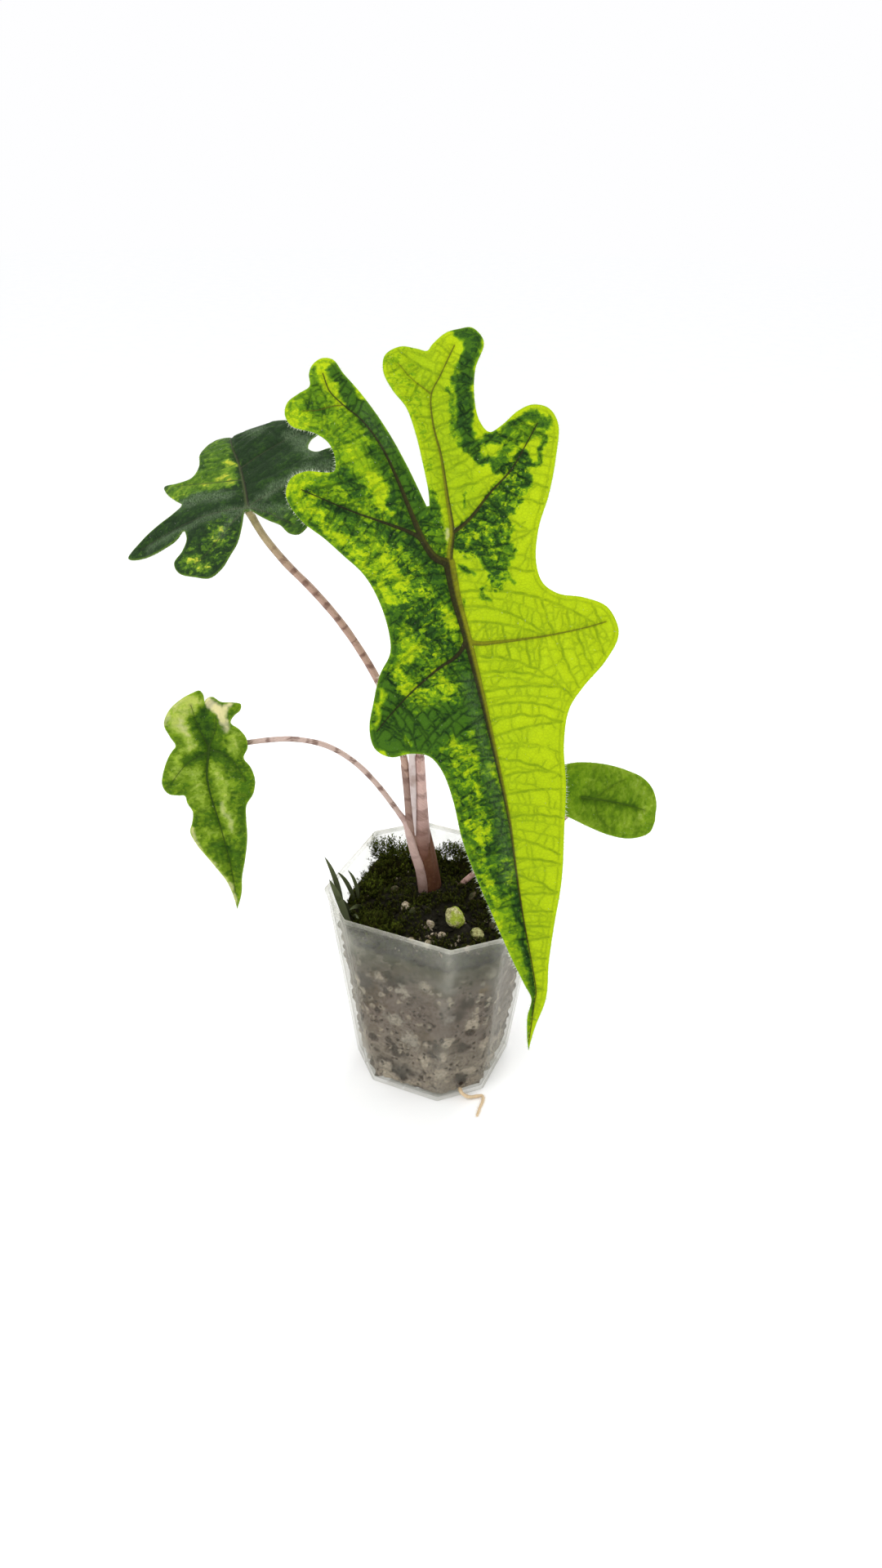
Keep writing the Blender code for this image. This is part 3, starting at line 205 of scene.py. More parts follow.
# Markings painted over the lime blade in this order: how dark, half width, points
MAIN_MARKS = (
    (0.6, 13, ((-13, -16), (-12, 4), (-10, 20), (-9, 34))),
    (0.42, 9, ((-32, -22), (-22, -8))),
    (0.38, 9.5, ((-19, -30), (-24, -44), (-30, -55))),
    (0.6, 6.5, ((-4, 56), (-2.5, 72), (-1.5, 86), (0, 98))),
    (0.4, 3.6, ((0.4, 106), (2.2, 116), (3.6, 124))),
    (0.2, 1.8, ((-3.6, 103), (-1.2, 112), (1, 120))),
    # left posterior lobe
    (0.86, 2.7, ((-4.6, -15), (-7.2, -24), (-10.6, -34), (-14.6, -43), (-18.6, -50))),
    (0.8, 2.4, ((-18, -48), (-20.6, -54), (-22.8, -61))),
    (0.9, 0.9, ((-10.2, -19), (-13, -28), (-16.2, -36))),
    (-0.3, 1.3, ((-27.4, -63.5), (-26.6, -58), (-25, -54), (-23, -51))),
    (0.66, 2, ((-32, -53), (-30, -50))),
    (0.5, 1.2, ((-29.6, -62), (-29.8, -56))),
    (0.2, 1.6, ((-37, -52), (-34, -47))),
    (0.18, 2.2, ((-22, -36), (-19, -29))),
    (-0.3, 2.2, ((-17.6, -27), (-15.6, -21.5), (-13, -17.6))),
    (0.85, 2.6, ((-27, -29.6), (-23.6, -26))),
    (1.1, 1.1, ((-13.6, -22.5), (-11.6, -16), (-9, -11.5))),
    # left upper side lobe and the band below its vein
    (0.1, 1.8, ((-36, -31), (-40.4, -28.6), (-40.6, -25))),
    (0.9, 2, ((-33, -22.4), (-25, -16.6), (-17, -11.4), (-10, -6.4))),
    (0.5, 1, ((-24, -15), (-20, -12.6))),
    (0.1, 2.2, ((-38, -23.4), (-33, -16.4), (-27.5, -9.4), (-24.4, -4))),
    (0.7, 1.2, ((-32, -19), (-28, -15), (-25, -11))),
    (0.05, 2, ((-17.8, -4), (-16.2, 0), (-14.6, 4))),
    (0.1, 1.8, ((-20.6, 1), (-18.4, 8))),
    (0.85, 2.8, ((-8, -4), (-5, 0), (-4, 6), (-4, 12))),
    (0.85, 2.6, ((-18.5, 13), (-13, 14), (-9, 20), (-4, 24))),
    (0.1, 1.2, ((-3.2, 13), (-1.8, 19))),
    (0.1, 1.6, ((-17, 19), (-14, 23), (-17.6, 25))),
    # left middle lobe, nearly solid
    (0.84, 5.4, ((-24.5, 33), (-24.5, 43), (-18, 46), (-9, 47), (-3, 44))),
    (0.84, 2.2, ((-29.4, 46.6), (-26, 49.6), (-20, 49.8), (-15, 51), (-12, 55))),
    (0.56, 1.8, ((-11.6, 58), (-9.2, 70), (-7.4, 84), (-4.4, 96))),
    (0.86, 2.4, ((-0.2, 27), (0.6, 36), (1, 46), (1.4, 56))),
    (0.1, 2.3, ((-20, 29.5), (-17.6, 34.5))),
    (0.2, 1.8, ((-9.8, 30.8), (-7, 34.4))),
    (0.4, 1.4, ((-13.6, 36), (-10.6, 35.6), (-5, 38))),
    (-0.3, 0.6, ((-25.6, 33.6), (-27.8, 38.5), (-28.4, 42.5))),
    (0.1, 0.6, ((-21.2, 48.6), (-19.6, 49.6))),
    (0.1, 1.5, ((-7.6, 51), (-5.6, 54.6), (-2.4, 55.4))),
    (0.2, 0.9, ((-8.4, 58), (-5.4, 59.6))),
    (0.15, 1.2, ((1.4, 61), (2.6, 66))),
    (0.2, 1.2, ((-3.4, 64.4), (-1.6, 67.6))),
    (0.1, 2, ((-5.2, 74.5), (-3.6, 78), (-2.4, 81.6))),
    (0.84, 2.4, ((0.4, 64), (1.4, 74), (2, 84))),
    (0.9, 1.8, ((-2.2, 84), (-1, 91), (0.6, 96))),
    (0.3, 1.2, ((-5.2, 90), (-3, 97), (-0.6, 103))),
    (1.2, 0.8, ((2.8, 96), (3.2, 106), (3.6, 116), (4.2, 126), (3, 131))),
    # dark left margin
    (0.8, 0.8, ((-42.6, -26), (-39.6, -19.2), (-34.4, -13.6), (-29.6, -7.4), (-25.2, -1.2),
                 (-22.2, 7), (-20.8, 16), (-21.4, 22.6), (-25.2, 28.6), (-28.6, 36),
                 (-31, 43.3), (-30, 49.2), (-26, 51.8), (-20, 51.8), (-15, 53.2),
                 (-12.2, 58.7), (-10.5, 67.3), (-9.7, 79.5), (-7, 92))),
    # right half
    (0.9, 0.7, ((10, -66.6), (14, -66.8))),
    (0.9, 2.6, ((14.6, -65.6), (17, -64.6), (17.8, -61.6), (15.2, -57), (13.6, -52))),
    (0.95, 2.7, ((12.4, -50), (11.6, -42), (10.6, -36), (11.6, -32))),
    (0.4, 1, ((8.2, -49), (7.6, -40), (8, -33))),
    (0.85, 1.6, ((12, -30.4), (16, -27.4), (20, -26))),
    (0.85, 1.5, ((15.8, -32.8), (20.4, -34.2), (26, -37), (31.6, -38.4), (34.6, -35.4))),
    (0.5, 2.4, ((21, -29.4), (26, -33.6), (31.4, -34))),
    (0.95, 1.9, ((17.6, -24.4), (20.6, -26))),
    (0.95, 1.4, ((24.4, -23.4), (26, -28), (26.6, -24.6))),
    (0.6, 1.3, ((29.4, -24.6), (31.8, -27.6), (33.6, -31.6))),
    (0.72, 4.3, ((6.5, -5.8), (11.5, -9.2), (16, -13), (20.4, -17), (23.6, -21))),
    (0.85, 3.2, ((5.6, -5), (9, -2.6), (12, 0.4))),
    (0.6, 3.6, ((8.6, -7.6), (14, -4.6), (15.6, 0.4))),
    (0.95, 1.5, ((10.4, -12.6), (14, -9.6), (17, -11.4))),
    (0.1, 0.9, ((5.2, -7), (6, -5.2))),
    (0.9, 0.8, ((18.4, -9.4), (18, -4))),
    (0.75, 1.6, ((12, 2.6), (14, 5), (11, 6.4))),
    (0.75, 1, ((3.2, 2), (6.6, 3.6))),
    (0.6, 1.3, ((8.4, 9.4), (9.4, 12.4))),
    (0.45, 1.2, ((15.6, 5.4), (12.4, 9))),
    (0.5, 0.7, ((17, 6.4), (17.4, 8.6))),
    (0.7, 0.4, ((8, -15.5), (7.4, -18))),
    (0.5, 0.4, ((10, -19.5), (10.6, -21))),
)
# Where the lime turns olive
MAIN_SHADE = (
    (0.75, 7, ((-1, -60), (4, -44), (4, -26), (8, -16))),
    (0.3, 8, ((8, 4), (14, 16), (12, 34))),
    (0.25, 5, ((8, 50), (10, 80), (8, 110))),
)

# How far the markings break up in flecks
MAIN_BROKEN = (
    (1.3, 9, ((-14, -10), (-11, 8), (-9, 24))),
    (2.3, 5, ((-14, -4), (-11, 8), (-8, 22))),
    (1.7, 2.6, ((-38, -26), (-33, -18), (-27, -9), (-22, 3))),
    (1.5, 3, ((-26, -26), (-20, -24))),
    (0.45, 3.4, ((-6.6, -18), (-12, -36), (-18.6, -50), (-22, -60))),
    (0.6, 4.6, ((-31, -55), (-24, -42), (-18, -30))),
    (0.5, 5.6, ((-25, 34), (-24, 44), (-14, 47), (-5, 44))),
    (0.5, 2.4, ((-29.4, 46.6), (-26, 49.6), (-20, 49.8), (-15, 51))),
    (2.2, 2.4, ((-21, 29), (-17.6, 34.5), (-13.6, 36))),
    (2.2, 2.4, ((-9.8, 30.8), (-7, 34.4), (-5, 38))),
    (2, 2, ((-7.6, 51), (-5.6, 54.6), (-2.4, 55.4))),
    (1.7, 4.4, ((-5, 58), (-3.6, 74), (-1, 94))),
    (2.3, 2.4, ((-5.2, 74.5), (-2.4, 81.6))),
    (0.5, 3.6, ((0.6, 104), (3, 118), (3.6, 132))),
    (0.5, 3, ((14, -64), (12.6, -50), (11, -36))),
    (2.3, 5.6, ((8, -5), (13, -7), (19, -15), (24, -22))),
    (2.1, 3.4, ((12, 0), (12, 8))),
)

# Painted sheen: where the hairs' grey sheen is painted into the main blade's colour
MAIN_PAINTED_SHEEN = (
    (0.28, 1.6, ((-0.4, 34), (1.4, 58), (2.4, 76), (2.4, 92))),
    (0.2, 1.6, ((-12, -36), (-17, -47))),
)

BACK_LEFT = (
    (-0.7, -1.4), (-2.4, -4.2), (-5.6, -8.4), (-9, -12), (-11.2, -16.4),
    (-14, -18), (-17.4, -16.2), (-21.6, -11.6), (-24.2, -5.8), (-27, -2.4),
    (-32, -1.2), (-37.4, 0.8), (-40.6, 4.6), (-39.6, 9.4), (-35.6, 12.8),
    (-29.6, 14.8), (-25, 14.6), (-22.6, 18.1), (-23.7, 23.1), (-27, 26.6),
    (-28.2, 30.8), (-25.4, 34.2), (-20, 35.6), (-15.6, 38.8), (-12.6, 45),
    (-10.4, 53), (-7.4, 64), (-3.4, 76), (0.6, 86),
)
BACK_RIGHT = (
    (0.6, 86), (4.4, 76), (7.6, 65), (9.4, 56), (10.2, 48),
    (11.4, 41), (13.3, 34.7), (13.8, 27), (16.6, 22.8), (22, 23.4),
    (27, 26.2), (26, 20.6), (23.4, 16), (21.4, 12.9), (25, 11.2),
    (30.5, 10.2), (38.3, 8.6), (45.4, 6.2), (38.4, 1.2), (30.9, -2.2),
    (24.9, -2.6), (21.8, 0.2), (20.8, -5), (23, -8.8), (26.4, -11.4),
    (25.8, -15.2), (21.1, -18.9), (15.8, -21.9), (11.4, -20.2), (8.4, -17),
    (5.2, -13.2), (2.8, -7.4), (1.1, -0.9),
)
BACK_RIBS = (
    ((0.75, 0.12), (4.2, 4.2), (0.9, 0.1),
     ((0.1, 0.3), (0, 10), (0.6, 21.7), (2, 32), (3, 44), (2.4, 60), (1, 79))),
    ((0.3, 0.1), (4.6, 4.6), (0.5, 0.5), ((0.1, 0.3), (6, -5), (14, -12), (20, -15))),
    ((0.35, 0.1), (4.4, 4.4), (0.6, 0.6), ((0.1, 0.3), (12, 2.2), (26, 4.4), (40, 5.8))),
    ((0.25, 0.1), (4.6, 4.6), (0.3, 0.3), ((0.3, 14), (10, 17.2), (22, 22))),
    ((0.35, 0.1), (4.6, 4.6), (0.6, 0.6), ((0.1, 0.3), (-6, -5.4), (-13.4, -14))),
    ((0.35, 0.1), (4.4, 4.4), (0.6, 0.6), ((0.1, 0.3), (-12, 3.4), (-26, 6.6), (-36, 6.4))),
    ((0.25, 0.1), (4.6, 4.6), (0.5, 0.5), ((0.6, 20), (-10, 24.4), (-23, 30))),
)
BACK_MARKS = (
    (0.42, 6, ((7, 18), (14, 19), (22, 20))),
    (0.5, 6, ((7, 26), (8.4, 36), (7.6, 52))),
    (0.1, 1.6, ((3, 14), (4.4, 18), (8, 17.6))),
    (0.2, 1.2, ((12, 17), (15, 18.6))),
    (-0.2, 1, ((2.6, 23.4), (3.4, 25.2))),
    (1, 2, ((22, 12), (14, 10.6), (5, 9))),
    (0.76, 5.5, ((9, -7), (14, -13), (20, -13))),
    (0.36, 0.9, ((22, -12.4), (19, -13.4), (17.6, -17.6))),
    (0.32, 1.2, ((10, -10), (10.8, -4.6))),
    (0.1, 0.5, ((20.8, -13), (17.6, -16.4))),
    (0.95, 1.8, ((4.6, -12), (7.4, -15.4))),
    (0.66, 4, ((-9, -8), (-13, -14))),
    (1.3, 3, ((-5, 15), (-12, 24), (-18, 32))),
    (1.2, 2, ((-2, 4), (-2.6, 14), (-1.6, 26))),
)
BACK_BROKEN = (
    (1.7, 6, ((9, -7), (14, -13), (20, -14))),
    (0.75, 6, ((7, 18), (14, 19), (8, 34))),
)
# Painted sheen: where the fine hairs lie thick, their silvery sheen is painted into the blade's
# colour
BACK_PAINTED_SHEEN = (
    (0.9, 2, ((6, 8), (14, 11.4), (22, 13))),
    (0.8, 2.6, ((-24, 14), (-21, 22), (-18, 28))),
    (0.9, 2, ((-30, 7), (-18, 7), (-6, 2.6))),
    (0.7, 1.6, ((-12, -7), (-4, -3), (0, 0))),
    (0.8, 1.4, ((0, 0), (8, 0.6), (20, 0.6), (34, 3.4))),
    (0.7, 1.4, ((3, -2), (8, -6.4), (10, -8))),
    (0.7, 3, ((-7, 36), (-3, 46))),
)

LOW_LEFT = (
    (-0.9, -14.8), (-0.9, -16.4), (-1.1, -18), (-2.1, -19.3), (-5, -18.5),
    (-8.9, -16.7), (-13, -13.5), (-15.2, -9.3), (-13.9, -5), (-12.4, -1.6),
    (-13.9, 0), (-15.6, 2.2), (-17.8, 6.8), (-18.8, 10.6), (-17.4, 13.8),
    (-14, 15), (-11.9, 15.4), (-11.4, 18), (-10, 21.2), (-10.8, 24.8),
    (-11.9, 27.6), (-10.5, 32.3), (-6.5, 39), (-2.8, 46), (-1.5, 51),
    (-0.9, 56.4),
)
LOW_RIGHT = (
    (-0.9, 56.4), (1.6, 51), (2.8, 45.5), (5, 39.5), (6.9, 32.5),
    (7.5, 26), (8.4, 21.6), (11.3, 18), (12.6, 13.6), (11.7, 9.2),
    (9.8, 5.8), (11.7, 2.4), (11.7, -0.9), (10, -3.8), (7.3, -6.6),
    (8.6, -8.7), (11, -10.4), (11.4, -12.4), (8.9, -13.3), (4.9, -14.1),
    (2.4, -16.2), (0.6, -16.3), (-0.4, -15.6), (-0.9, -14.8),
)
LOW_RIBS = (
    ((0.5, 0.1), (4.4, 4.4), (0.6, 0.6),
     ((-1.4, 0.3), (-3.6, 10), (-3.4, 16), (-1.8, 27), (-0.6, 39), (-0.4, 50))),
    ((0.3, 0.08), (4.2, 4.2), (0.6, 0.6), ((-1.4, 0.3), (-4, -7), (-5.5, -14.5))),
    ((0.25, 0.08), (4.2, 4.2), (0.3, 0.3), ((-1.4, 0.3), (2, -6), (2.4, -9))),
    ((0.25, 0.08), (4.2, 4.2), (0.5, 0.5), ((-2, 2), (-9, 4.6), (-15.6, 10.4))),
    ((0.25, 0.08), (4.2, 4.2), (0.4, 0.4), ((-1.4, 1), (4.6, 4.4), (9.6, 13.4))),
)
LOW_MARKS = (
    (0.05, 4.2, ((-10, -11), (-6, -15))),
    (-0.2, 1, ((-11, -9.4), (-8.4, -5.4), (-6.4, -0.6), (-9.4, 2))),
    (0.3, 2.6, ((-12, 3), (-13, 8))),
    (0.25, 2.4, ((-8, 9), (-6.6, 18))),
    (0.15, 1.7, ((-0.6, 8), (1.8, 14), (0.8, 21), (2, 28))),
    (1.05, 1.6, ((-1.4, -12), (-1, -5), (-1.2, 2))),
    (0.95, 1.2, ((-5.4, -9), (-2.6, -3))),
    (0.95, 1, ((-2, 1.6), (-6, 3.4), (-9.6, 3.6))),
    (0.3, 2.2, ((8, -2), (7, 2))),
    (0.8, 1.4, ((3, 3.4), (8, 9), (9.4, 17))),
    (0.75, 1.2, ((-3, 24), (-9, 26))),
    (0.3, 2, ((-6, 30), (-3, 30.6))),
    (0.85, 1.2, ((-6, 34.8), (-2.4, 34.6), (0.4, 37))),
    (0.1, 0.7, ((-11.2, 28), (-9.4, 33.4), (-5.4, 40.6), (-2, 47.6))),
    (0.75, 1, ((6.4, 22), (5.8, 32), (3.4, 42))),
)
LOW_PALE = (
    (0.4, 0.6, ((-15, -9.6), (-13, -13.4), (-9, -16.6))),
    (0.6, 0.7, ((-11.2, 28), (-9.6, 33.4), (-5.6, 40.6), (-2.2, 47.6), (-1.2, 54))),
    (1, 1.7, ((0.8, -15), (3.4, -12.6), (4.6, -9))),
    (0.8, 0.9, ((4.6, -9), (5.2, -4.4))),
    (0.95, 0.8, ((5, -9), (6.6, -12), (8.6, -13.2))),
    (0.45, 0.5, ((-10.6, -9.4), (-8, -5))),
    (0.3, 0.7, ((0, 20), (2, 28.6))),
)

OVAL_LEFT = (
    (1.3, -7.2), (0.2, -7.5), (-2, -7.1), (-4.8, -6.4), (-6.6, -4), (-7.5, 0.6),
    (-8.4, 6.4), (-8.9, 12.6), (-8.3, 19.4), (-6.2, 24.4), (-3.6, 27.2),
    (0.6, 27.9),
)
OVAL_RIGHT = (
    (0.6, 27.9), (6.4, 26.6), (11.4, 23.4), (14.2, 18.8), (15.1, 12.4),
    (15, 5.4), (13.9, -1), (12, -6.8), (9.2, -10.8), (6.4, -11.6),
    (3.6, -10.4), (2, -8.6), (1.3, -7.2),
)
OVAL_RIBS = (
    ((0.6, 0.12), (4.2, 4.2), (0.5, 0.5), ((1.2, 0), (2.2, 6), (3.2, 14), (3.4, 23))),
    ((0.12, 0.08), (4.6, 4.6), (0.1, 0.1), ((1.9, 4), (9, 9.4), (12, 13))),
    ((0.12, 0.08), (4.6, 4.6), (0.1, 0.1), ((1.9, 4), (-4.4, 8), (-6.4, 12.4))),
)
OVAL_MARKS = (
    (0.9, 0.9, ((0.6, 0), (1.8, 5), (2.8, 12), (3.6, 19))),
    (0.7, 3, ((2, -5), (7, -6))),
    (0.25, 1.8, ((-3.6, 17.4), (-2.4, 18.6))),
    (0.2, 1.6, ((1, 22.4), (7, 25), (10.6, 18))),
    (0.25, 1.3, ((14, 4), (13.8, 16))),
    (0.3, 1.4, ((-6.4, -1), (-7.4, 5))),
)


@dataclass
class Blade:
    """One leaf blade: its plan, where it is held, how it bends and what it is marked with."""
    name: str
    strokes: tuple
    ribs: tuple
    marks: tuple
    junction: tuple
    turns: tuple        # lean about X, roll about Y, swing in its own plane
    along: tuple        # (distance towards the tip, slope) knots
    across: tuple       # (distance from the midrib, slope) knots, left and right
    wave: tuple         # height at the edge, wavelength, start
    base: float = -0.4  # how dark the blade is between its marks
    step: float = 1.0   # mesh step, as a share of the main blade's
    greens: tuple = ()  # lime to deep green, where they aren't the main blade's
    rib_greens: tuple = ((130, 124, 22), (48, 42, 22))
    shade: tuple = ()   # strokes of olive
    pale: tuple = ()    # strokes of cream
    # Strokes where the hairs' silvery sheen is painted into the colour
    frost: tuple = ()   # strokes of silver
    broken: tuple = ()  # strokes that break up more or less than the rest
    feather: float = 1.1  # how softly a mark ends
    stray: float = 1.3    # how far a mark's edge wanders
    fleck: float = 1.1    # how far the markings break up in flecks
    crisp: float = 0.05   # how soft a fleck's edge is
    # fuzz sets the shader's own sheen and also the painted sheen that the whole blade starts with
    fuzz: float = 0.0     # grey sheen of the hairs all over
    veined: float = 1.0   # how dark the finer veins are
    soft: float = 1.0     # how broad and soft they are


BLADES = (
    Blade("leaf_main", (MAIN_LEFT, MAIN_RIGHT), MAIN_RIBS, MAIN_MARKS,
          junction=(1.6, -25, 210.5), turns=(59, 0, 10.9),
          along=((-70, 7), (-30, 1), (0, 0), (60, -1.5), (145, -7)),
          across=(((0, 7), (12, 1), (45, -6)),
                  ((0, 7), (12, 1), (45, -6))),
          wave=(1.3, 52, 10), shade=MAIN_SHADE, frost=MAIN_PAINTED_SHEEN, broken=MAIN_BROKEN,
          pale=((1, 0.24, ((0.95, -6.6), (0.95, -9.2))),)),
    Blade("leaf_back", (BACK_LEFT, BACK_RIGHT), BACK_RIBS, BACK_MARKS,
          junction=(-61.5, 10, 213.9), turns=(25, -15, 193),
          along=((-30, 22), (0, 0), (30, -3), (52, -50), (84, -68)),
          across=(((0, 5), (12, -1), (40, -14)),
                  ((0, 6), (14, -4), (40, -26))),
          wave=(0.9, 27, 4), base=1, step=1.3,
          greens=((206, 210, 60), (124, 158, 40), (84, 122, 28), (48, 80, 26), (33, 58, 25)),
          rib_greens=((92, 104, 62), (52, 46, 40)), frost=BACK_PAINTED_SHEEN,
          broken=BACK_BROKEN, feather=2.6, stray=1.6, fleck=1, crisp=0.12, fuzz=0.05,
          veined=0.5, soft=1.8),
    Blade("leaf_low", (LOW_LEFT, LOW_RIGHT), LOW_RIBS, LOW_MARKS,
          junction=(-76.6, 0, 134.2), turns=(59, 0, 10),
          along=((-20, 14), (0, 0), (30, -3), (57, -12)),
          across=(((0, 14), (8, 2), (20, -14)),
                  ((0, 14), (8, 2), (20, -14))),
          wave=(1.3, 19, 3), base=0.66, step=0.9,
          greens=((190, 202, 96), (156, 182, 58), (120, 152, 24), (74, 112, 14), (44, 78, 14)),
          rib_greens=((80, 106, 28), (44, 70, 18)), pale=LOW_PALE,
          feather=2.6, stray=1.2, fleck=0.7, crisp=0.14, veined=0.5, soft=2.2),
    Blade("leaf_oval", (OVAL_LEFT, OVAL_RIGHT), OVAL_RIBS, OVAL_MARKS,
          junction=(50.8, 10, 109.6), turns=(59, 0, 74.4),
          along=((-12, 12), (0, 0), (28, -16)),
          across=(((0, 10), (6, 0), (16, -16)),
                  ((0, 10), (6, 0), (16, -16))),
          wave=(0.5, 24, 0), base=0.5, step=0.9,
          greens=((180, 200, 90), (146, 176, 44), (120, 156, 22), (92, 130, 16), (64, 100, 14)),
          rib_greens=((100, 132, 30), (60, 88, 18)),
          feather=2.6, stray=1.2, fleck=0.7, crisp=0.15, veined=0.4, soft=2.2),
)

# Stalks: end radii and routes from the root end to just under the blade
STALK_STEP = 0.9
STALKS = {
    "petiole_main": ("leaf_main", (1.7, 1.45), (
        (-5.7, 5.2, 103), (-6.4, 4.6, 116), (-6.8, 4.4, 130), (-6.6, 5, 148),
        (-5.4, 5, 168), (-3, 1, 188), (-0.4, -8.5, 202.5), (1.2, -17.5, 207.8))),
    "petiole_back": ("leaf_back", (1.35, 1.2), (
        (-9.9, 4.6, 103), (-10.7, 4.3, 116), (-12.4, 4.1, 129.8), (-15.9, 4.3, 143),
        (-20.4, 4.6, 156.4), (-27, 5.7, 168.5), (-34, 6.3, 179), (-42, 7.1, 188.5),
        (-50.1, 7.8, 196.9), (-56.6, 8.4, 205.2))),
    "petiole_low": ("leaf_low", (1, 0.9), (
        (-8.6, 5.3, 97.5), (-11.4, 5.3, 101.6), (-15.2, 5.2, 107.8), (-21.4, 5, 117.2),
        (-27.6, 4.8, 124.7), (-33.7, 4.5, 129.9), (-39.4, 4.2, 133.1), (-45.5, 4, 134.7),
        (-51.5, 3.8, 135.3), (-58, 3.7, 134.8), (-65, 4.2, 133.4), (-71.5, 5.4, 131.4))),
    "petiole_oval": ("leaf_oval", (1.1, 1), (
        (3.6, 12.2, 61), (7.5, 12, 68), (13.9, 11.6, 75.8), (25.3, 11.4, 84.2),
        (36.8, 11.8, 93), (45.4, 12.6, 100.4))),
}
# Where fresh green starts on a stalk, the spacing of its bands, and its skin if it is paler
STALK_LOOKS = {
    "petiole_main": (0.7, 7.6, None),
    "petiole_back": (0.76, 5.0, (186, 154, 138)),
    "petiole_low": (0.85, 7.6, (204, 180, 170)),
    "petiole_oval": (0.85, 7.6, None),
}
STEM_STEP = 0.8
STEM_ROUTE = ((-2.4, 9.6, 61), (-2.7, 9, 71), (-3.9, 8, 81), (-5.3, 7, 91),
              (-6.8, 5.9, 101), (-8, 5, 109))
STEM_HALF_WIDTHS = (4.4, 4.5, 4.3, 4, 3.4, 2)
STEM_HALF_DEPTHS = (3.9, 3.9, 3.5, 3.1, 2.6, 1.6)
# Sheaths round the stem: name, radii along it, flatness, route
SHEATHS = (
    ("main_wrap", (2.2, 3.35, 2.95, 2.5, 2.1, 1.74), 0.9, (
        (-4.4, 8, 79), (-5.4, 6.7, 88), (-6, 5.2, 103), (-6.4, 4.6, 116),
        (-6.8, 4.4, 129))),
    ("back_wrap", (1.2, 2.3, 2.3, 1.95, 1.62, 1.38), 0.9, (
        (-5.6, 7.6, 76), (-7, 6.4, 85), (-9.2, 4.9, 101), (-10.5, 4.3, 114),
        (-11.9, 4.1, 126))),
    ("left_wrap", (2.1, 1.9, 1.75, 1.6, 1.4, 1.02), 0.85, (
        (-4.6, 6.4, 65), (-5.2, 5.3, 76), (-6.6, 4.3, 84), (-8.4, 3.6, 90.5),
        (-9.7, 3.5, 96), (-11.3, 4.6, 101.8), (-14.2, 5.2, 106.2))),
    ("sheath", (0.2, 0.7, 1.05, 1.2, 1, 0.1), 0.4, (
        (-7.9, 2.6, 98), (-8.5, 2.3, 110), (-9.1, 2.5, 122), (-9.6, 3, 133),
        (-10.2, 3.6, 143))),
)
NEVER_FRESH = 2.0  # past the end of any stalk
# How strong the bands on a sheath are, its skin above and at its foot, and where that ends
SHEATH_LOOKS = {
    "main_wrap": (0.7, (216, 182, 174), (112, 74, 58), 0.14),
    "back_wrap": (0.8, (156, 128, 116), (128, 88, 58), 0.0),
    "left_wrap": (0.3, (200, 172, 164), (112, 84, 76), 0.0),
}
ROOT_STEP = 0.5
ROOT_SIDES = 14
ROOT_HAIRS = 260
ROOT_ROUTE = ((10.5, -25.6, 3.4), (11.2, -27.4, 3.1), (13.6, -28, 1.7), (16.8, -26.9, 0.95),
              (19, -26.4, 0.8), (19.2, -28.8, 0.75), (18.2, -32, 0.75), (16.9, -36.5, 0.75))

# Pot, as in the model
POT_HEIGHT = 80.0
POT_RIM_WIDTH = 70.0
POT_BASE_WIDTH = 54.0
POT_RIM_CUT = 14.5
POT_BASE_CUT = 13.5
POT_TURN = -22.7
POT_WALL = 0.8
POT_FLOOR = 1.2
LIP_HEIGHT = 2.6
LIP_PROUD = 0.6
SOIL_EDGE = 67.5
SOIL_DOME = 3.6
SOIL_RADIUS = 33.0
SOIL_LUMP = 1.3
MIX_INSET = LIP_PROUD + POT_WALL + 0.35
MIX_RISE = 1.1  # between the rings of its side
MIX_STEP = 0.85
CORNER_POINTS = 7
SIDE_POINTS = (4, 12)  # between the corners, on the cut sides and on the long ones
SLOT_MIDDLE = 5.1
SLOT_HALF_WIDTH = 1.3
SLOT_HALF_STRAIGHT = 2.0
HOLE_RADIUS = 3.0
HOLE_OUT = 14.0  # from the pot's middle to that of a hole
# Loose bits on the mix: name, number, sizes, flatness
CHIPS = (
    ("bark_chips", 620, (0.5, 1.9), (0.25, 0.5)),
    ("small_grains", 120, (0.35, 1.0), (0.7, 0.9)),
)

# Larger lumps seen through the pot: shade, radius and place, in metres
SEEN_LUMPS = (
    ((196, 190, 172), 0.0034, (-0.0113, -0.0283, 0.0522)),
    ((184, 176, 160), 0.0044, (-0.0143, -0.0252, 0.0357)),
    ((182, 174, 160), 0.0048, (-0.0082, -0.0269, 0.0274)),
    ((156, 146, 136), 0.0030, (0.0066, -0.0319, 0.0434)),
    ((150, 140, 128), 0.0026, (0.0138, -0.0301, 0.0507)),
    ((54, 44, 40), 0.0040, (-0.0005, -0.0296, 0.0230)),
    ((48, 36, 26), 0.0040, (0.0116, -0.0273, 0.0263)),
    ((48, 42, 38), 0.0056, (-0.0113, -0.0235, 0.0085)),
    ((36, 28, 22), 0.0040, (0.0114, -0.0246, 0.0081)),
    ((70, 60, 50), 0.0036, (-0.0203, -0.0246, 0.0525)),
    ((62, 52, 44), 0.0028, (-0.0068, -0.0297, 0.0477)),
    ((64, 54, 46), 0.0036, (-0.0223, -0.0205, 0.0230)),
    ((132, 112, 84), 0.0024, (0.0195, -0.0285, 0.0552)),
)

# Moss cushions: node, centre, half sizes, turn, height
MOSS = (
    ("moss_back_left", (-19, 24), (11, 7.5), 40, 5.5),
    ("moss_left", (-28, 9), (6.5, 7.5), 10, 3.6),
    ("moss_back", (-2.5, 27.5), (6, 5.5), 0, 5),
    ("moss_back_right", (15, 24), (9, 6.5), -25, 7),
    ("moss_right", (24, 3), (6.5, 8), 0, 3.6),
    ("moss_front_left", (-21, -14), (9, 5.5), -45, 2.6),
)
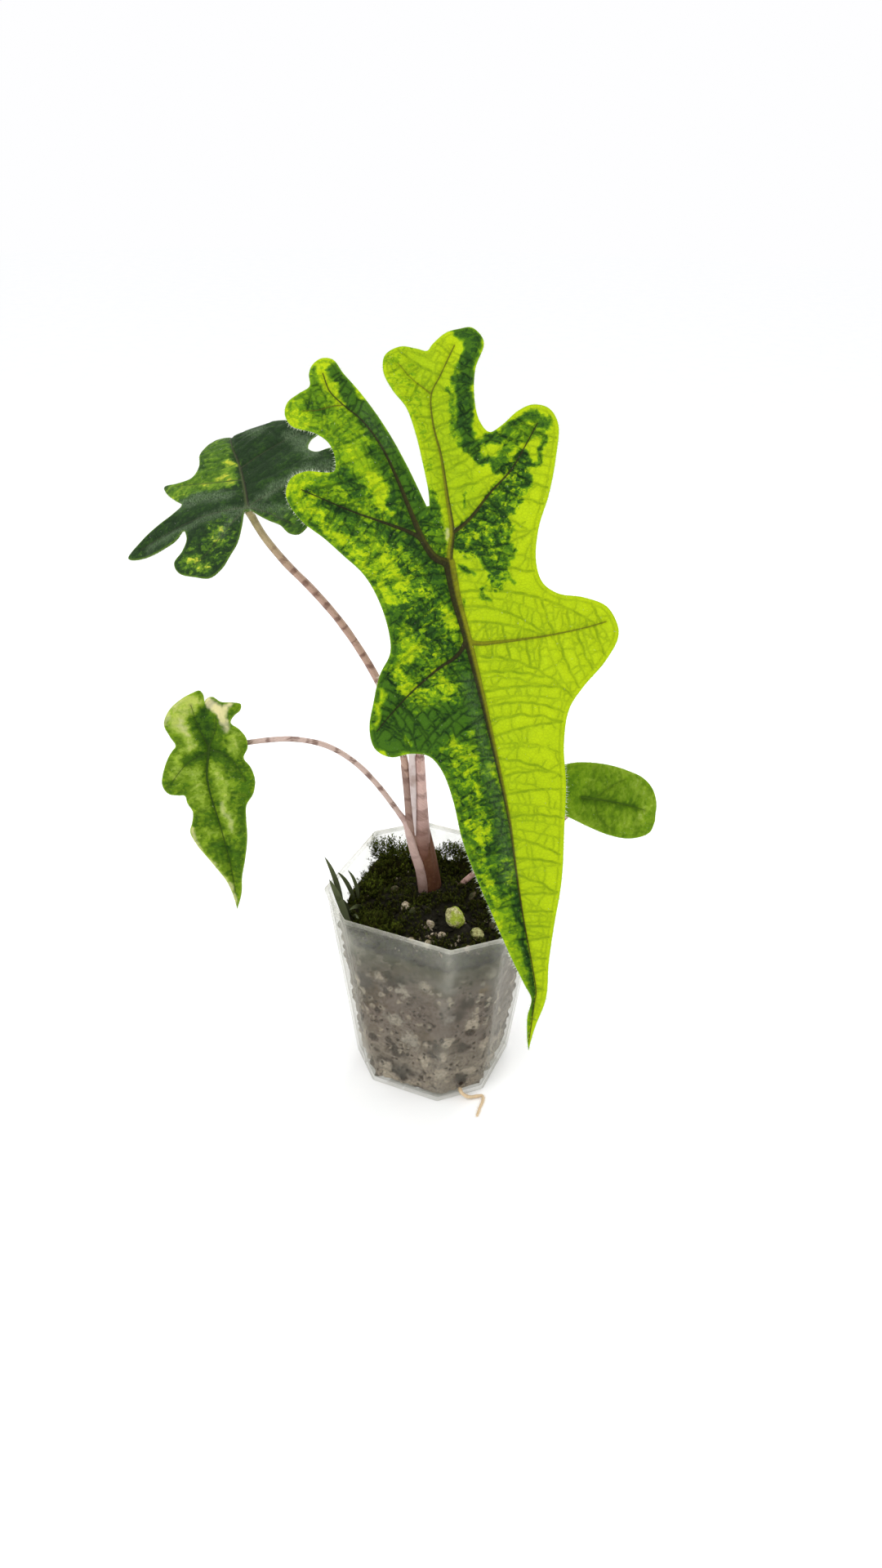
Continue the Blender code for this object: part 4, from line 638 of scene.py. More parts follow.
# Taller shoots behind the stem: middle, half sizes, least and greatest height, number
TUFTS = (
    ((-20.5, 29), (4.6, 2.6), (6, 12), 64),
    ((-12, 31), (4, 1.6), (3, 7), 34),
    ((6.5, 30), (5.5, 2.2), (3.5, 7.5), 60),
)
MOSS_WALL_GAP = 1.4  # from the mix's edge to the feet of a cushion's shoots
SHOOT_LEAVES = 13
LEAF_TURN = 137.5    # from one leaf of a shoot to the next
CREEPING_SHOOTS = 4200
# Where no moss creeps: the bare mix and the stem
BARE_SPOT = ((5, -13), (14, 11))  # middle and half sizes
STEM_SPOT = ((-2.7, 9.2), 5.5)    # middle and radius
SPRIG_RINGS = 14
# Pointed sprigs at the left rim: foot, bend, tip, half width
SPRIGS = (
    ((-34.2, -1.6, 70), (-36, -1.6, 83), (-39.9, -2, 91), 0.9),
    ((-30.6, -13.6, 69), (-34.4, -7, 77), (-38.4, -3.6, 82.4), 1.25),
    ((-30, 1, 70), (-32, 1, 79), (-35.6, 0, 83), 0.75),
    ((-28.5, 2, 70), (-29, 3, 78), (-32.4, 5, 80.5), 0.6),
    ((-31, -6, 69.4), (-33, -7, 76), (-36, -8.6, 78.4), 0.9),
    ((-26.6, -4, 69.6), (-27.6, -7, 75), (-30.6, -12, 75.4), 0.8),
    ((-29, -9, 69.6), (-29, -12, 74), (-27, -16.4, 75), 0.7),
)
# Grains: middle, radius, how far it stands out
GRAINS = (
    ((-10.9, -4.6), 2.1, 0.5), ((-8.2, -8.6), 1.7, 0.4), ((-1.8, -13.4), 1.8, 0.4),
    ((2.3, -19.4), 1.6, 0.4), ((-2.6, -23.6), 1.9, 0.4), ((-8.3, -20.6), 1.5, 0.4),
    ((11.5, -25.3), 1.6, 0.4), ((20.5, -11.5), 2, 0.5), ((13.4, 3.5), 1.8, 0.4),
    ((-15.5, 9.5), 1.9, 0.4),
)
DIRTY_GRAINS = (1, 7, 8, 9)  # counted from 0
LUMPS = (
    ("green_lump_large", (6.8, -12), 4.3, 0.9),
    ("green_lump_small", (14.8, -18), 2.7, 0.7),
)

# Stage: lights with their places, targets and sizes, and the camera fitted to the photograph
FLOOR_SIDES = 96
FLOOR_RINGS = (60, 240, 700, 2200)
KEY_LIGHT = ("key_light", (-260, -320, 620), (0, 0, 120), 420)
REAR_LIGHT = ("rear_light", (220, 420, 420), (0, 0, 110), 380)
CAMERA_PLACE = (0.75, -360.36, 338.27)
CAMERA_RIGHT = (0.9997, 0.0122, 0.0203)
CAMERA_AHEAD = (0, 0.8565, -0.5161)
CAMERA_LENS = 28.125


# Curves and plans

def smooth_line(points, spacing):
    """Evenly spaced points on a smooth open curve through POINTS."""
    points = np.asarray(points, float)
    ends = np.vstack([2 * points[0] - points[1], points, 2 * points[-1] - points[-2]])
    fine = []
    for quad in zip(ends, ends[1:], ends[2:], ends[3:]):
        gaps = [max(np.linalg.norm(b - a), 1e-6) ** 0.5 for a, b in zip(quad, quad[1:])]
        knots = np.concatenate([[0.0], np.cumsum(gaps)])
        at = np.linspace(knots[1], knots[2], 12, endpoint=False)[:, None]
        layer = list(quad)
        for reach in (1, 2):
            layer = [a + (b - a) * (at - knots[i]) / (knots[i + reach] - knots[i])
                     for i, (a, b) in enumerate(zip(layer, layer[1:]))]
        fine.append(layer[0] + (layer[1] - layer[0]) * (at - knots[1]) / (knots[2] - knots[1]))
    return even_points(np.vstack(fine + [points[-1:]]), spacing)


def even_points(line, spacing):
    reach = reach_along(line)
    at = np.linspace(0.0, reach[-1], max(2, round(reach[-1] / spacing)) + 1)
    return np.stack([np.interp(at, reach, column) for column in line.T], axis=1)


def reach_along(line):
    """How far along a line each of its points is."""
    return np.concatenate([[0.0], np.cumsum(np.linalg.norm(np.diff(line, axis=0), axis=1))])


def unit(vectors):
    """The vectors, each made one long."""
    return vectors / np.maximum(np.linalg.norm(vectors, axis=1), 1e-6)[:, None]


def page(points):
    """Outline points, which count towards the tip, as places with the tip down the page."""
    return np.array([(right, -tipward) for right, tipward in points])


def reach_to(places, lines):
    """Distance from each place to the nearest line, less the line's half width there."""
    starts = np.vstack([line[:-1] for line, _ in lines])
    runs = np.vstack([np.diff(line, axis=0) for line, _ in lines])
    near = np.concatenate([widths[:-1] for _, widths in lines])
    grow = np.concatenate([np.diff(widths) for _, widths in lines])
    squares = np.maximum((runs ** 2).sum(axis=1), 1e-9)
    found = []
    for block in np.array_split(places, max(1, len(places) * len(starts) // 4000000)):
        away = block[:, None, :] - starts[None]
        at = np.clip((away * runs).sum(axis=2) / squares, 0.0, 1.0)
        gap = np.linalg.norm(away - at[..., None] * runs, axis=2)
        found.append((gap - near - at * grow).min(axis=1))
    return np.concatenate(found)


def inside(places, loop):
    """Which places lie inside the closed loop."""
    ahead = np.roll(loop, -1, axis=0)
    held = np.zeros(len(places), bool)
    for (x0, y0), (x1, y1) in zip(loop, ahead):
        if y0 == y1:
            continue
        crossed = (y0 > places[:, 1]) != (y1 > places[:, 1])
        held ^= crossed & (places[:, 0] < x0 + (x1 - x0) * (places[:, 1] - y0) / (y1 - y0))
    return held


def hex_grid(loop, spacing):
    low, high = loop.min(axis=0), loop.max(axis=0)
    x, y = np.meshgrid(np.arange(low[0], high[0], spacing),
                       np.arange(low[1], high[1], spacing * math.sqrt(3) / 2))
    x[1::2] += spacing / 2
    return np.stack([x.ravel(), y.ravel()], axis=1)


def triangulate(loop, lines, spacing):
    """Triangles inside a loop that keep the lines as edges: places and faces."""
    grid = hex_grid(loop, spacing)
    grid = grid[inside(grid, loop)]
    kept = [loop, *lines]
    _, gaps = nearest(point_finder(np.vstack(kept)), grid)
    edges = [(i, (i + 1) % len(loop)) for i in range(len(loop))]
    start = len(loop)
    for line in lines:
        edges += [(start + i, start + i + 1) for i in range(len(line) - 1)]
        start += len(line)
    flat = [Vector(point) for point in np.vstack(kept + [grid[gaps > spacing * 0.6]])]
    made, _, faces, *_ = delaunay_2d_cdt(flat, edges, [], 1, 1e-3)
    return np.array(made), np.array(faces)


def point_finder(points):
    """A tree that finds the nearest of some flat points."""
    tree = KDTree(len(points))
    for i, (x, y) in enumerate(points):
        tree.insert((x, y, 0.0), i)
    tree.balance()
    return tree


def nearest(tree, places):
    """For each place the number of the tree's nearest point, and how far away that is."""
    _, numbers, gaps = zip(*(tree.find((x, y, 0.0)) for x, y in places))
    return np.array(numbers), np.array(gaps)


def open_edges(faces):
    """Edges that only one of the faces has, in the direction that face runs."""
    edges = np.vstack([faces[:, [0, 1]], faces[:, [1, 2]], faces[:, [2, 0]]])
    size = faces.max() + 1
    return edges[~np.isin(edges[:, 0] * size + edges[:, 1], edges[:, 1] * size + edges[:, 0])]


def thick_faces(faces, count):
    """A closed body's faces: FACES above, the same below, and walls between."""
    edges = open_edges(faces)
    walls = np.vstack([np.stack([edges[:, 1] + count, edges[:, 0], edges[:, 0] + count], axis=1),
                       np.stack([edges[:, 1] + count, edges[:, 1], edges[:, 0]], axis=1)])
    return np.vstack([faces, faces[:, ::-1] + count, walls])


def bend(knots, distance):
    """Run, rise and slope after DISTANCE along a line whose slope changes evenly."""
    places, slopes = np.array(knots).T
    ticks = np.arange(-100.0, 170.0, 0.25)
    middle = np.radians(np.interp(ticks[:-1] + 0.125, places, slopes))
    found = []
    for steps in (np.cos(middle), np.sin(middle)):
        gone = np.concatenate([[0.0], np.cumsum(steps * 0.25)])
        found.append(np.interp(distance, ticks, gone - np.interp(0.0, ticks, gone)))
    return (*found, np.radians(np.interp(distance, places, slopes)))


def blade_turn(blade):
    lean, roll, swing = (math.radians(turn) for turn in blade.turns)
    turned = Matrix.Rotation(lean, 3, "X") @ Matrix.Rotation(roll, 3, "Y")
    return np.array(turned @ Matrix.Rotation(swing, 3, "Z"))


def bent(blade, flat):
    """Where places on the flat blade go when it is bent, waved and set on its stalk."""
    tipward = -flat[:, 1]
    middle = midrib(blade, tipward)
    run, rise, slope = bend(blade.along, tipward)
    offset = flat[:, 0] - middle
    left, right = (bend(knots, np.abs(offset)) for knots in blade.across)
    out, up = (np.where(offset < 0, left[i], right[i]) for i in range(2))
    height, wavelength, start = blade.wave
    edge = np.minimum(1.0, np.abs(offset) / 30.0)
    up += height * edge * np.sin(math.tau * (start + tipward + offset * 0.4) / wavelength)
    local = np.stack([middle + np.sign(offset) * out, -run + up * np.sin(slope),
                      rise + up * np.cos(slope)], axis=1)
    return blade.junction + local @ blade_turn(blade).T


def midrib(blade, tipward):
    """Where the midrib is, this far towards the tip."""
    spine = np.array(blade.ribs[0][3])
    return np.interp(tipward, spine[:, 1], spine[:, 0])


def blade_normals(blade, flat):
    step = np.array([0.4, 0.0])
    across = bent(blade, flat + step) - bent(blade, flat - step)
    down = bent(blade, flat + step[::-1]) - bent(blade, flat - step[::-1])
    return unit(np.cross(across, down))


# Pieces

def new_object(name, data):
    made = bpy.data.objects.new(name, data)
    bpy.context.scene.collection.objects.link(made)
    return made


def new_solid(name, points, faces):
    """An object from points in millimetres."""
    mesh = bpy.data.meshes.new(name)
    mesh.from_pydata((np.asarray(points) * MM).tolist(), [], [list(map(int, f)) for f in faces])
    return new_object(name, mesh)


def add_piece(name, points, faces, finish, slot, replaces=(), fields=None, smooth=40.0):
    """Make a piece from points in millimetres; FIELDS are values that its finish reads."""
    piece = new_solid(name, points, faces)
    mesh = piece.data
    for field, values in (fields or {}).items():
        values = np.asarray(values, np.float32)
        kind, key = ("FLOAT_VECTOR", "vector") if values.ndim == 2 else ("FLOAT", "value")
        mesh.attributes.new(field, kind, "POINT").data.foreach_set(key, values.ravel())
    mesh.materials.append(finish)
    mesh.shade_smooth()
    mesh.set_sharp_from_angle(angle=math.radians(smooth))
    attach(piece, "root")
    if replaces:
        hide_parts(*replaces)
    return piece


def join_bodies(bodies):
    """Put several (points, faces) bodies in one list."""
    points, faces, offset = [], [], 0
    for body, body_faces in bodies:
        points.append(np.asarray(body))
        faces += [[offset + index for index in face] for face in body_faces]
        offset += len(body)
    return np.vstack(points), faces


def tube(route, radii, sides, depths=None, tip=0.5):
    """A round rod along ROUTE with rounded ends, and how far along and around each point is."""
    route = np.asarray(route, float)
    radii = np.asarray(radii, float)
    depths = radii if depths is None else np.asarray(depths, float)
    headings = unit(np.gradient(route, axis=0))
    reach = reach_along(route)
    side = np.array([1.0, 0.0, 0.0])
    rings = []
    turns = np.arange(sides) * math.tau / sides
    for place, heading, wide, deep in zip(route, headings, radii, depths):
        side = side - heading * side.dot(heading)
        side /= np.linalg.norm(side)
        up = np.cross(heading, side)
        rings.append(place + np.outer(np.cos(turns) * wide, side)
                     + np.outer(np.sin(turns) * deep, up))
    caps = []
    for ring, heading in ((rings[0], -headings[0]), (rings[-1], headings[-1])):
        middle = ring.mean(axis=0)
        push = heading * np.linalg.norm(ring[0] - middle) * tip
        caps.append(middle + (ring - middle) * 0.6 + push)
    rings = [caps[0]] + rings + [caps[1]]
    along = np.repeat(np.concatenate([[0.0], reach, reach[-1:]]), sides)
    around = np.stack([np.cos(turns), np.sin(turns), np.zeros(sides)], axis=1)
    around = np.tile(around, (len(rings), 1))
    return np.vstack(rings), skin_faces(len(rings), sides), along, around


def skin_faces(rings, sides):
    faces = [list(range(sides))[::-1]]
    for k in range(rings - 1):
        low = k * sides
        for i in range(sides):
            j = (i + 1) % sides
            faces.append([low + i, low + j, low + sides + j, low + sides + i])
    last = (rings - 1) * sides
    faces.append(list(range(last, last + sides)))
    return faces


def spikes(roots, tips, radius):
    """A slim three-sided spike from each root to its tip."""
    headings = unit(tips - roots)
    upright = np.abs(headings[:, 2:]) > 0.9
    side = unit(np.cross(headings, np.where(upright, [[1.0, 0.0, 0.0]], [[0.0, 0.0, 1.0]])))
    up = np.cross(headings, side)
    corners = [roots + (side * math.cos(turn) + up * math.sin(turn)) * radius
               for turn in (0.0, math.tau / 3, math.tau * 2 / 3)]
    return four_point_bodies(corners + [tips], ((0, 1, 3), (1, 2, 3), (2, 0, 3), (2, 1, 0)))


def four_point_bodies(corners, pattern):
    """Many small bodies of four points each, with the same pattern of faces."""
    points = np.stack(corners, axis=1).reshape(-1, 3)
    start = np.arange(len(corners[0]))[:, None, None] * 4
    return points, (start + np.array(pattern)).reshape(-1, 3)


# Materials

class Value:
    """What a node gives out. Sums with it add nodes to its material."""

    def __init__(self, finish, socket):
        self.finish = finish
        self.socket = socket

    def sum(self, operation, other=None):
        return self.finish.node("Math", {0: self, 1: other}, operation=operation)

    def __add__(self, other):
        return self.sum("ADD", other)

    def __sub__(self, other):
        return self.sum("SUBTRACT", other)

    def __mul__(self, other):
        return self.sum("MULTIPLY", other)

    def step(self, low, high, to_low=0.0, to_high=1.0):
        """TO_LOW up to LOW, TO_HIGH from HIGH on, and a smooth change between."""
        values = {"Value": self, "From Min": low, "From Max": high, "To Min": to_low,
                  "To Max": to_high}
        return self.finish.node("MapRange", values, interpolation_type="SMOOTHSTEP")


class Finish:
    """One material, with short ways to add and join its nodes."""

    def __init__(self, name):
        self.material = bpy.data.materials.new(name)
        self.material.use_nodes = True
        self.tree = self.material.node_tree
        self.tree.nodes.clear()

    def node(self, kind, values, output=0, **settings):
        """Add a node, set or join its inputs and give back the output that is asked for."""
        made = self.tree.nodes.new("ShaderNode" + kind)
        for key, value in settings.items():
            setattr(made, key, value)
        for key, value in values.items():
            socket = made.inputs[key]
            if isinstance(value, Value):
                self.tree.links.new(value.socket, socket)
            elif value is not None:
                socket.default_value = (*value[:3], 1.0) if socket.type == "RGBA" else value
        return Value(self, made.outputs[output])

    def field(self, name):
        return self.node("Attribute", {}, "Fac", attribute_name=name)

    def place(self, name):
        return self.node("Attribute", {}, "Vector", attribute_name=name)

    def object_place(self):
        return self.node("TexCoord", {}, "Object")

    def axis(self, vector, number):
        return self.node("SeparateXYZ", {0: vector}, number)

    def along_only(self, value):
        return self.node("CombineXYZ", {0: value})

    def vectors(self, operation, first, second, output=0):
        return self.node("VectorMath", {0: first, 1: second}, output, operation=operation)

    def stretch(self, vector, scale):
        return self.node("Mapping", {"Vector": vector, "Scale": scale})

    def grain(self, vector, scale, detail=4.0, rough=0.55, distortion=0.0, output="Fac"):
        values = {"Vector": vector, "Scale": scale, "Detail": detail, "Roughness": rough,
                  "Distortion": distortion}
        return self.node("TexNoise", values, output)

    def cells(self, vector, scale, output="Distance", feature="F1"):
        return self.node("TexVoronoi", {"Vector": vector, "Scale": scale}, output, feature=feature)

    def mix(self, amount, first, second, mode="MIX"):
        values = {0: amount, 6: first, 7: second}
        return self.node("Mix", values, 2, data_type="RGBA", blend_type=mode)

    def times(self, amount, tint, by):
        """TINT, multiplied by a colour as far as AMOUNT says."""
        return self.mix(amount, tint, by, "MULTIPLY")

    def bump(self, height, strength, distance):
        return self.node("Bump", {"Height": height, "Strength": strength, "Distance": distance})

    def skin(self, tint, roughness, gloss=None, normal=None, sheen=()):
        values = {"Base Color": tint, "Roughness": roughness, "Specular IOR Level": gloss,
                  "Normal": normal, **dict(sheen)}
        return self.node("BsdfPrincipled", values)

    def blend(self, amount, first, second):
        return self.node("MixShader", {0: amount, 1: first, 2: second})

    def glowing(self, amount, face, tint, normal=None):
        """A face that lets some light through in a tint."""
        through = self.node("BsdfTranslucent", {"Color": tint, "Normal": normal})
        return self.blend(amount, face, through)

    def finish(self, shader):
        output = self.tree.nodes.new("ShaderNodeOutputMaterial")
        self.tree.links.new(shader.socket, output.inputs["Surface"])
        return self.material


def leaf_finish(blade, settings):
    """Variegated blade: flecked greens, a net of veins, brown ribs and a glow through it."""
    f = Finish(blade.name)
    greens = [tone(*values) for values in blade.greens] or [
        settings.lime, settings.light_green, settings.mid_green, settings.dark_green,
        settings.deep_green]
    plan = f.place("plan")
    marking, net, rim, rib, bark = (f.field(name)
                                    for name in ("marking", "net", "rim", "rib", "bark"))
    # flecked greens
    strayed = f.vectors("ADD", plan, f.grain(plan, 0.5, 3.0, 0.5, output="Color"))
    fleck = f.grain(strayed, 0.56, 6.0, 0.66) - 0.5
    drawn = f.stretch(strayed, (0.8, 1.2, 1.0))
    patch = f.axis(f.cells(drawn, 0.66, "Color"), 0)
    crumb = f.axis(f.cells(drawn, 1.5, "Color"), 1)
    spread = fleck + (patch * 0.55 + crumb * 0.45 - 0.5) * 0.6
    lightest = marking.step(0.3, 0.85, -1.0, 0.24)
    flecked = (marking + spread * f.field("broken")).sum("MAXIMUM", lightest)
    deep = (flecked * 0.65 + marking * 0.35).step(0.2, 0.6)
    tint = greens[0]
    for threshold, green in zip((0.1, 0.36, 0.62, 0.92), greens[1:]):
        tint = f.mix(flecked.step(threshold - blade.crisp, threshold + blade.crisp), tint, green)
    tint = f.times(f.field("shade") * 0.6, tint, (0.6, 0.74, 0.9))
    tint = f.times(f.grain(plan, 0.16, 3.0).step(0.35, 0.7, 0.0, 0.3), tint, (0.74, 0.82, 0.9))
    tint = f.mix(f.field("pale"), tint, tone(226, 218, 166))
    # the finest net with painted light in its middles, the veins and the line inside the rim
    areoles = f.cells(f.stretch(strayed, (0.9, 1.1, 1.0)), 1.0, feature="DISTANCE_TO_EDGE")
    areoles = areoles.step(0.0, 0.14, 1.0, 0.0)
    tint = f.times(areoles * (0.16 * blade.veined), tint, (0.3, 0.36, 0.5))
    # painted light: the middles of the areoles, where the blade swells between the finest veins,
    # are made lighter
    tint = f.times(net.step(0.4, 1.3, 0.0, 0.4), tint, (1.14, 1.12, 1.0))
    fine = net.step(-0.02, 0.4 * blade.soft, 1.0, 0.0) * deep.step(0.0, 1.0, 0.54, 0.8)
    side = f.field("vein").step(-0.04, 0.48 * blade.soft, 1.0, 0.0)
    side = side * deep.step(0.0, 1.0, 0.88, 0.95)
    hem = (rim - 1.35).sum("ABSOLUTE").step(0.05, 0.5, 0.5, 0.0)
    strong = f.grain(plan, 0.3, 2.0).step(0.35, 0.65, 0.6 * blade.veined, blade.veined)
    lines = fine.sum("MAXIMUM", side).sum("MAXIMUM", hem) * strong
    tint = f.times(lines, tint, f.mix(deep, (0.47, 0.55, 0.85), (0.14, 0.21, 0.36)))
    # painted shade just beside the ribs, along the edges of the groove over them
    tint = f.times(rib.step(0.0, 0.8, 0.34, 0.0), tint, (0.6, 0.6, 0.6))
    # ribs, darker towards their edges as painted shade where the ridge falls away
    olive, brown = (tone(*values) for values in blade.rib_greens)
    streaks = f.grain(f.stretch(plan, (3.0, 0.4, 1.0)), 1.0, 3.0)
    ribbing = f.mix(bark.step(0.1, 0.9), olive, brown)
    ribbing = f.times(streaks.step(0.4, 0.7, 0.0, 0.4), ribbing, (0.5, 0.5, 0.5))
    ribbing = f.times(rib.step(-0.55, -0.05, 0.0, 0.65), ribbing, (0.42, 0.5, 0.5))
    ribbed = rib.step(-0.1, 0.14, 1.0, 0.0) * bark.step(0.0, 0.6, 0.7, 0.94)
    tint = f.mix(ribbed, tint, ribbing)
    # rim, underside and the hairs' painted sheen
    tint = f.mix(rim.step(0.1, 0.6, 0.3, 0.0), tint, f.times(1.0, greens[1], (1.15, 1.2, 1.0)))
    tint = f.mix(f.field("under") * 0.16, tint, tone(92, 122, 54))
    # painted sheen: grey streaks where the hairs catch the light, mixed into the colour
    fuzz = f.grain(f.stretch(plan, (2.6, 0.9, 1.0)), 1.0, 5.0, 0.8, 0.8).step(0.44, 0.62)
    tint = f.mix((fuzz + 0.2) * f.field("frost") * 0.62, tint, tone(134, 156, 120))
    normal = f.bump(fleck * 0.5 - lines * 0.9 - areoles * 0.25, 0.55, 0.0004)
    sheen = {"Sheen Weight": blade.fuzz * 0.3, "Sheen Roughness": 0.4, "Sheen Tint": (1, 1, 1)}
    face = f.skin(tint, fleck.step(-0.2, 0.2, 0.5, 0.64), 0.12, normal, sheen)
    clearer = f.node("Gamma", {"Color": tint, "Gamma": 0.5})
    return f.finish(f.glowing(settings.glow, face, clearer, normal))


def hair_finish():
    f = Finish("leaf_hair")
    tint = f.mix(f.grain(f.object_place(), 900.0, 2.0), tone(236, 240, 226), tone(206, 216, 180))
    return f.finish(f.skin(tint, 0.5, 0.3))


def stalk_finish(name, settings, top, banding=1.0, skin=None, low=None, spacing=7.6, dark_to=0.0):
    """Pinkish stalk with ragged dark bands across it, greener from TOP on towards the blade."""
    f = Finish(name)
    along, share_ = f.field("along"), f.field("share")
    around = f.place("around")
    skin = skin or settings.skin
    split = f.along_only(along * 0.44)
    specked = f.vectors("ADD", split, around)
    speck = f.grain(specked, 5.0, 4.0)
    ragged = f.grain(specked, 1.5, 5.0, 0.7)
    turn = (along + f.grain(split, 0.5, 2.0) * 9.0) * (math.tau / spacing)
    band = (turn.sum("SINE") + (ragged - 0.5) * 4.0).step(0.0, 1.2)
    lines = f.grain(f.vectors("ADD", f.stretch(split, (0.2, 1, 1)), around), 7.0, 3.0)
    base = f.mix(share_.step(dark_to, dark_to + 0.6), low or skin, skin)
    fresh = share_.step(top, max(1.0, top + 0.1))
    tint = f.mix(fresh, base, settings.fresh)
    bands_and_corner_highlight = band * fresh.step(0.0, 0.9, 0.75 * banding, 0.2 * banding)
    tint = f.mix(bands_and_corner_highlight, tint, settings.band)
    tint = f.times(speck.step(0.4, 0.7, 0.0, 0.4), tint, (0.6, 0.5, 0.46))
    tint = f.times(lines.step(0.48, 0.72, 0.0, 0.3), tint, (1.5, 1.5, 1.5))
    normal = f.bump(lines + speck * 0.5, 0.4, 0.00025)
    return f.finish(f.glowing(0.15, f.skin(tint, 0.45, 0.3, normal), tint))


def sheath_finish(settings):
    """Pale papery skin with fine lines along it."""
    f = Finish("sheath_skin")
    lines = f.grain(f.place("around"), 7.0, 4.0)
    patch = f.grain(f.object_place(), 180.0, 4.0)
    tint = f.mix(patch.step(0.45, 0.75), settings.sheath, tone(176, 150, 142))
    tint = f.mix(lines.step(0.5, 0.8, 0.0, 0.4), tint, tone(226, 212, 206))
    face = f.skin(tint, 0.45, normal=f.bump(lines, 0.4, 0.0002))
    return f.finish(f.glowing(0.25, face, tint))


def stem_finish(settings):
    """Stem base: reddish brown at its foot, darkened there by painted shade where it meets the mix,
    paler above, mottled and ringed with old scars.
    """
    f = Finish("stem_skin")
    place = f.object_place()
    blotch = f.grain(f.stretch(place, (1.0, 1.0, 0.45)), 300.0, 5.0, 0.65)
    rings = f.grain(f.along_only(f.field("along")), 0.75, 4.0, 0.7)
    speck = f.grain(place, 900.0, 4.0)
    height = f.field("share") + (blotch - 0.5) * 1.3
    # the foot colour is the stem's own reddish brown, deepened as painted shade where the stem
    # meets the mix
    tint = f.mix(height.step(0.1, 0.85), settings.foot, tone(98, 64, 44))
    tint = f.mix(height.step(0.75, 1.1, 0.0, 0.8), tint, tone(98, 64, 38))
    tint = f.mix(rings.step(0.56, 0.64, 0.0, 0.55), tint, tone(70, 42, 32))
    tint = f.mix(speck.step(0.5, 0.75, 0.0, 0.3), tint, tone(126, 94, 76))
    return f.finish(f.skin(tint, 0.55, 0.25, f.bump(rings + speck * 0.6, 0.5, 0.0004)))


def pot_finish(settings):
    """Clear soft plastic, clouded with condensation and a little thicker at the lip, with painted
    milky highlights along its corner bends.
    """
    f = Finish("pot_plastic")
    place = f.object_place()
    height = f.axis(place, 2)
    cloud = f.grain(place, 55.0, 5.0, 0.65)
    blotch = f.grain(place, 230.0, 4.0, 0.6)
    drops = f.cells(place, 1000.0).step(0.1, 0.34, 1.0, 0.0)
    haze = cloud.step(0.3, 0.7, 0.6, 1.5) * settings.haze
    haze = haze + blotch.step(0.5, 0.7) * 0.03 + drops * 0.02
    lip = height.step(0.0783, 0.0793, 0.0, 2.6) + height.step(0.066, 0.074, 1.0, 1.15)
    # painted highlight: more milky haze along the corner bends, stronger higher up
    bands_and_corner_highlight = f.field("corner") * cloud.step(0.35, 0.65, 0.05, 0.16)
    bands_and_corner_highlight = bands_and_corner_highlight * height.step(0.03, 0.066, 0.3, 1.0)
    grazed = f.node("LayerWeight", {"Blend": 0.5}, "Facing").step(0.5, 1.0, 0.0, 0.22)
    haze = haze * height.step(0.035, 0.07, 0.5, 1.0) * lip + bands_and_corner_highlight + grazed
    tint = f.mix(blotch.step(0.35, 0.7), settings.plastic, tone(180, 182, 170))
    rough = cloud.step(0.3, 0.7, settings.roughness, settings.roughness + 0.2)
    face = f.skin(tint, rough, 0.6, f.bump(cloud + blotch * 0.4, 0.3, 0.0006))
    clear = f.node("BsdfTransparent", {"Color": tone(249, 249, 248)})
    return f.finish(f.blend(haze, clear, f.glowing(0.3, face, tint)))


def mix_finish(settings):
    """Lumpy mix: rounded pale and dark bits below, wet and nearly black on top."""
    f = Finish("potting_mix")
    place = f.object_place()
    level = f.axis(place, 2)
    stray = f.grain(place, 380.0, 3.0, 0.5, output="Color")
    strayed = f.vectors("ADD", place, f.vectors("MULTIPLY", stray, (0.0014, 0.0014, 0.0014)))
    crumb = f.grain(place, 1000.0, 5.0, 0.7)
    cloud = f.grain(place, 60.0, 4.0, 0.6)
    tint = f.mix(cloud.step(0.44, 0.6), settings.earth, tone(90, 74, 54))
    tint = f.mix(level.step(0.01, 0.04, 0.6, 0.0), tint, tone(176, 164, 148))
    lower = level.step(0.004, 0.03, 0.3, 0.0)
    for scale, chosen, shade in ((0.5, 0.6, settings.bark), (0.75, 0.46, settings.stone),
                                 (1.2, 0.62, settings.bark), (1.7, 0.52, tone(176, 164, 144)),
                                 (3.0, 0.6, tone(50, 40, 32))):
        fit = scale / settings.lump
        pick = f.axis(f.cells(strayed, fit, "Color"), 0)
        if shade == settings.bark:
            pick = pick + lower
        lump = f.cells(strayed, fit).step(0.22, 0.46, 1.0, 0.0) * pick.step(chosen, chosen + 0.05)
        tint = f.mix(lump * 0.85, tint, shade)
    roughly = (f.grain(place, 230.0, 3.0) - 0.5) * 0.008
    for shade, radius, middle in SEEN_LUMPS:
        away = f.vectors("DISTANCE", strayed, middle, "Value") + roughly
        tint = f.mix(away.step(radius * 0.5, radius * 1.15, 0.85, 0.0), tint, tone(*shade))
    tint = f.mix(crumb.step(0.35, 0.6, 0.5, 0.0), tint, tone(56, 46, 38))
    tint = f.mix(level.step(0.05, 0.066, 0.0, 0.75), tint, tone(66, 68, 46))
    tint = f.mix(level.step(0.0655, 0.068, 0.0, 0.88), tint, settings.damp)
    return f.finish(f.skin(tint, 0.82, 0.08, f.bump(crumb + lump * 0.5, 0.8, 0.0009)))


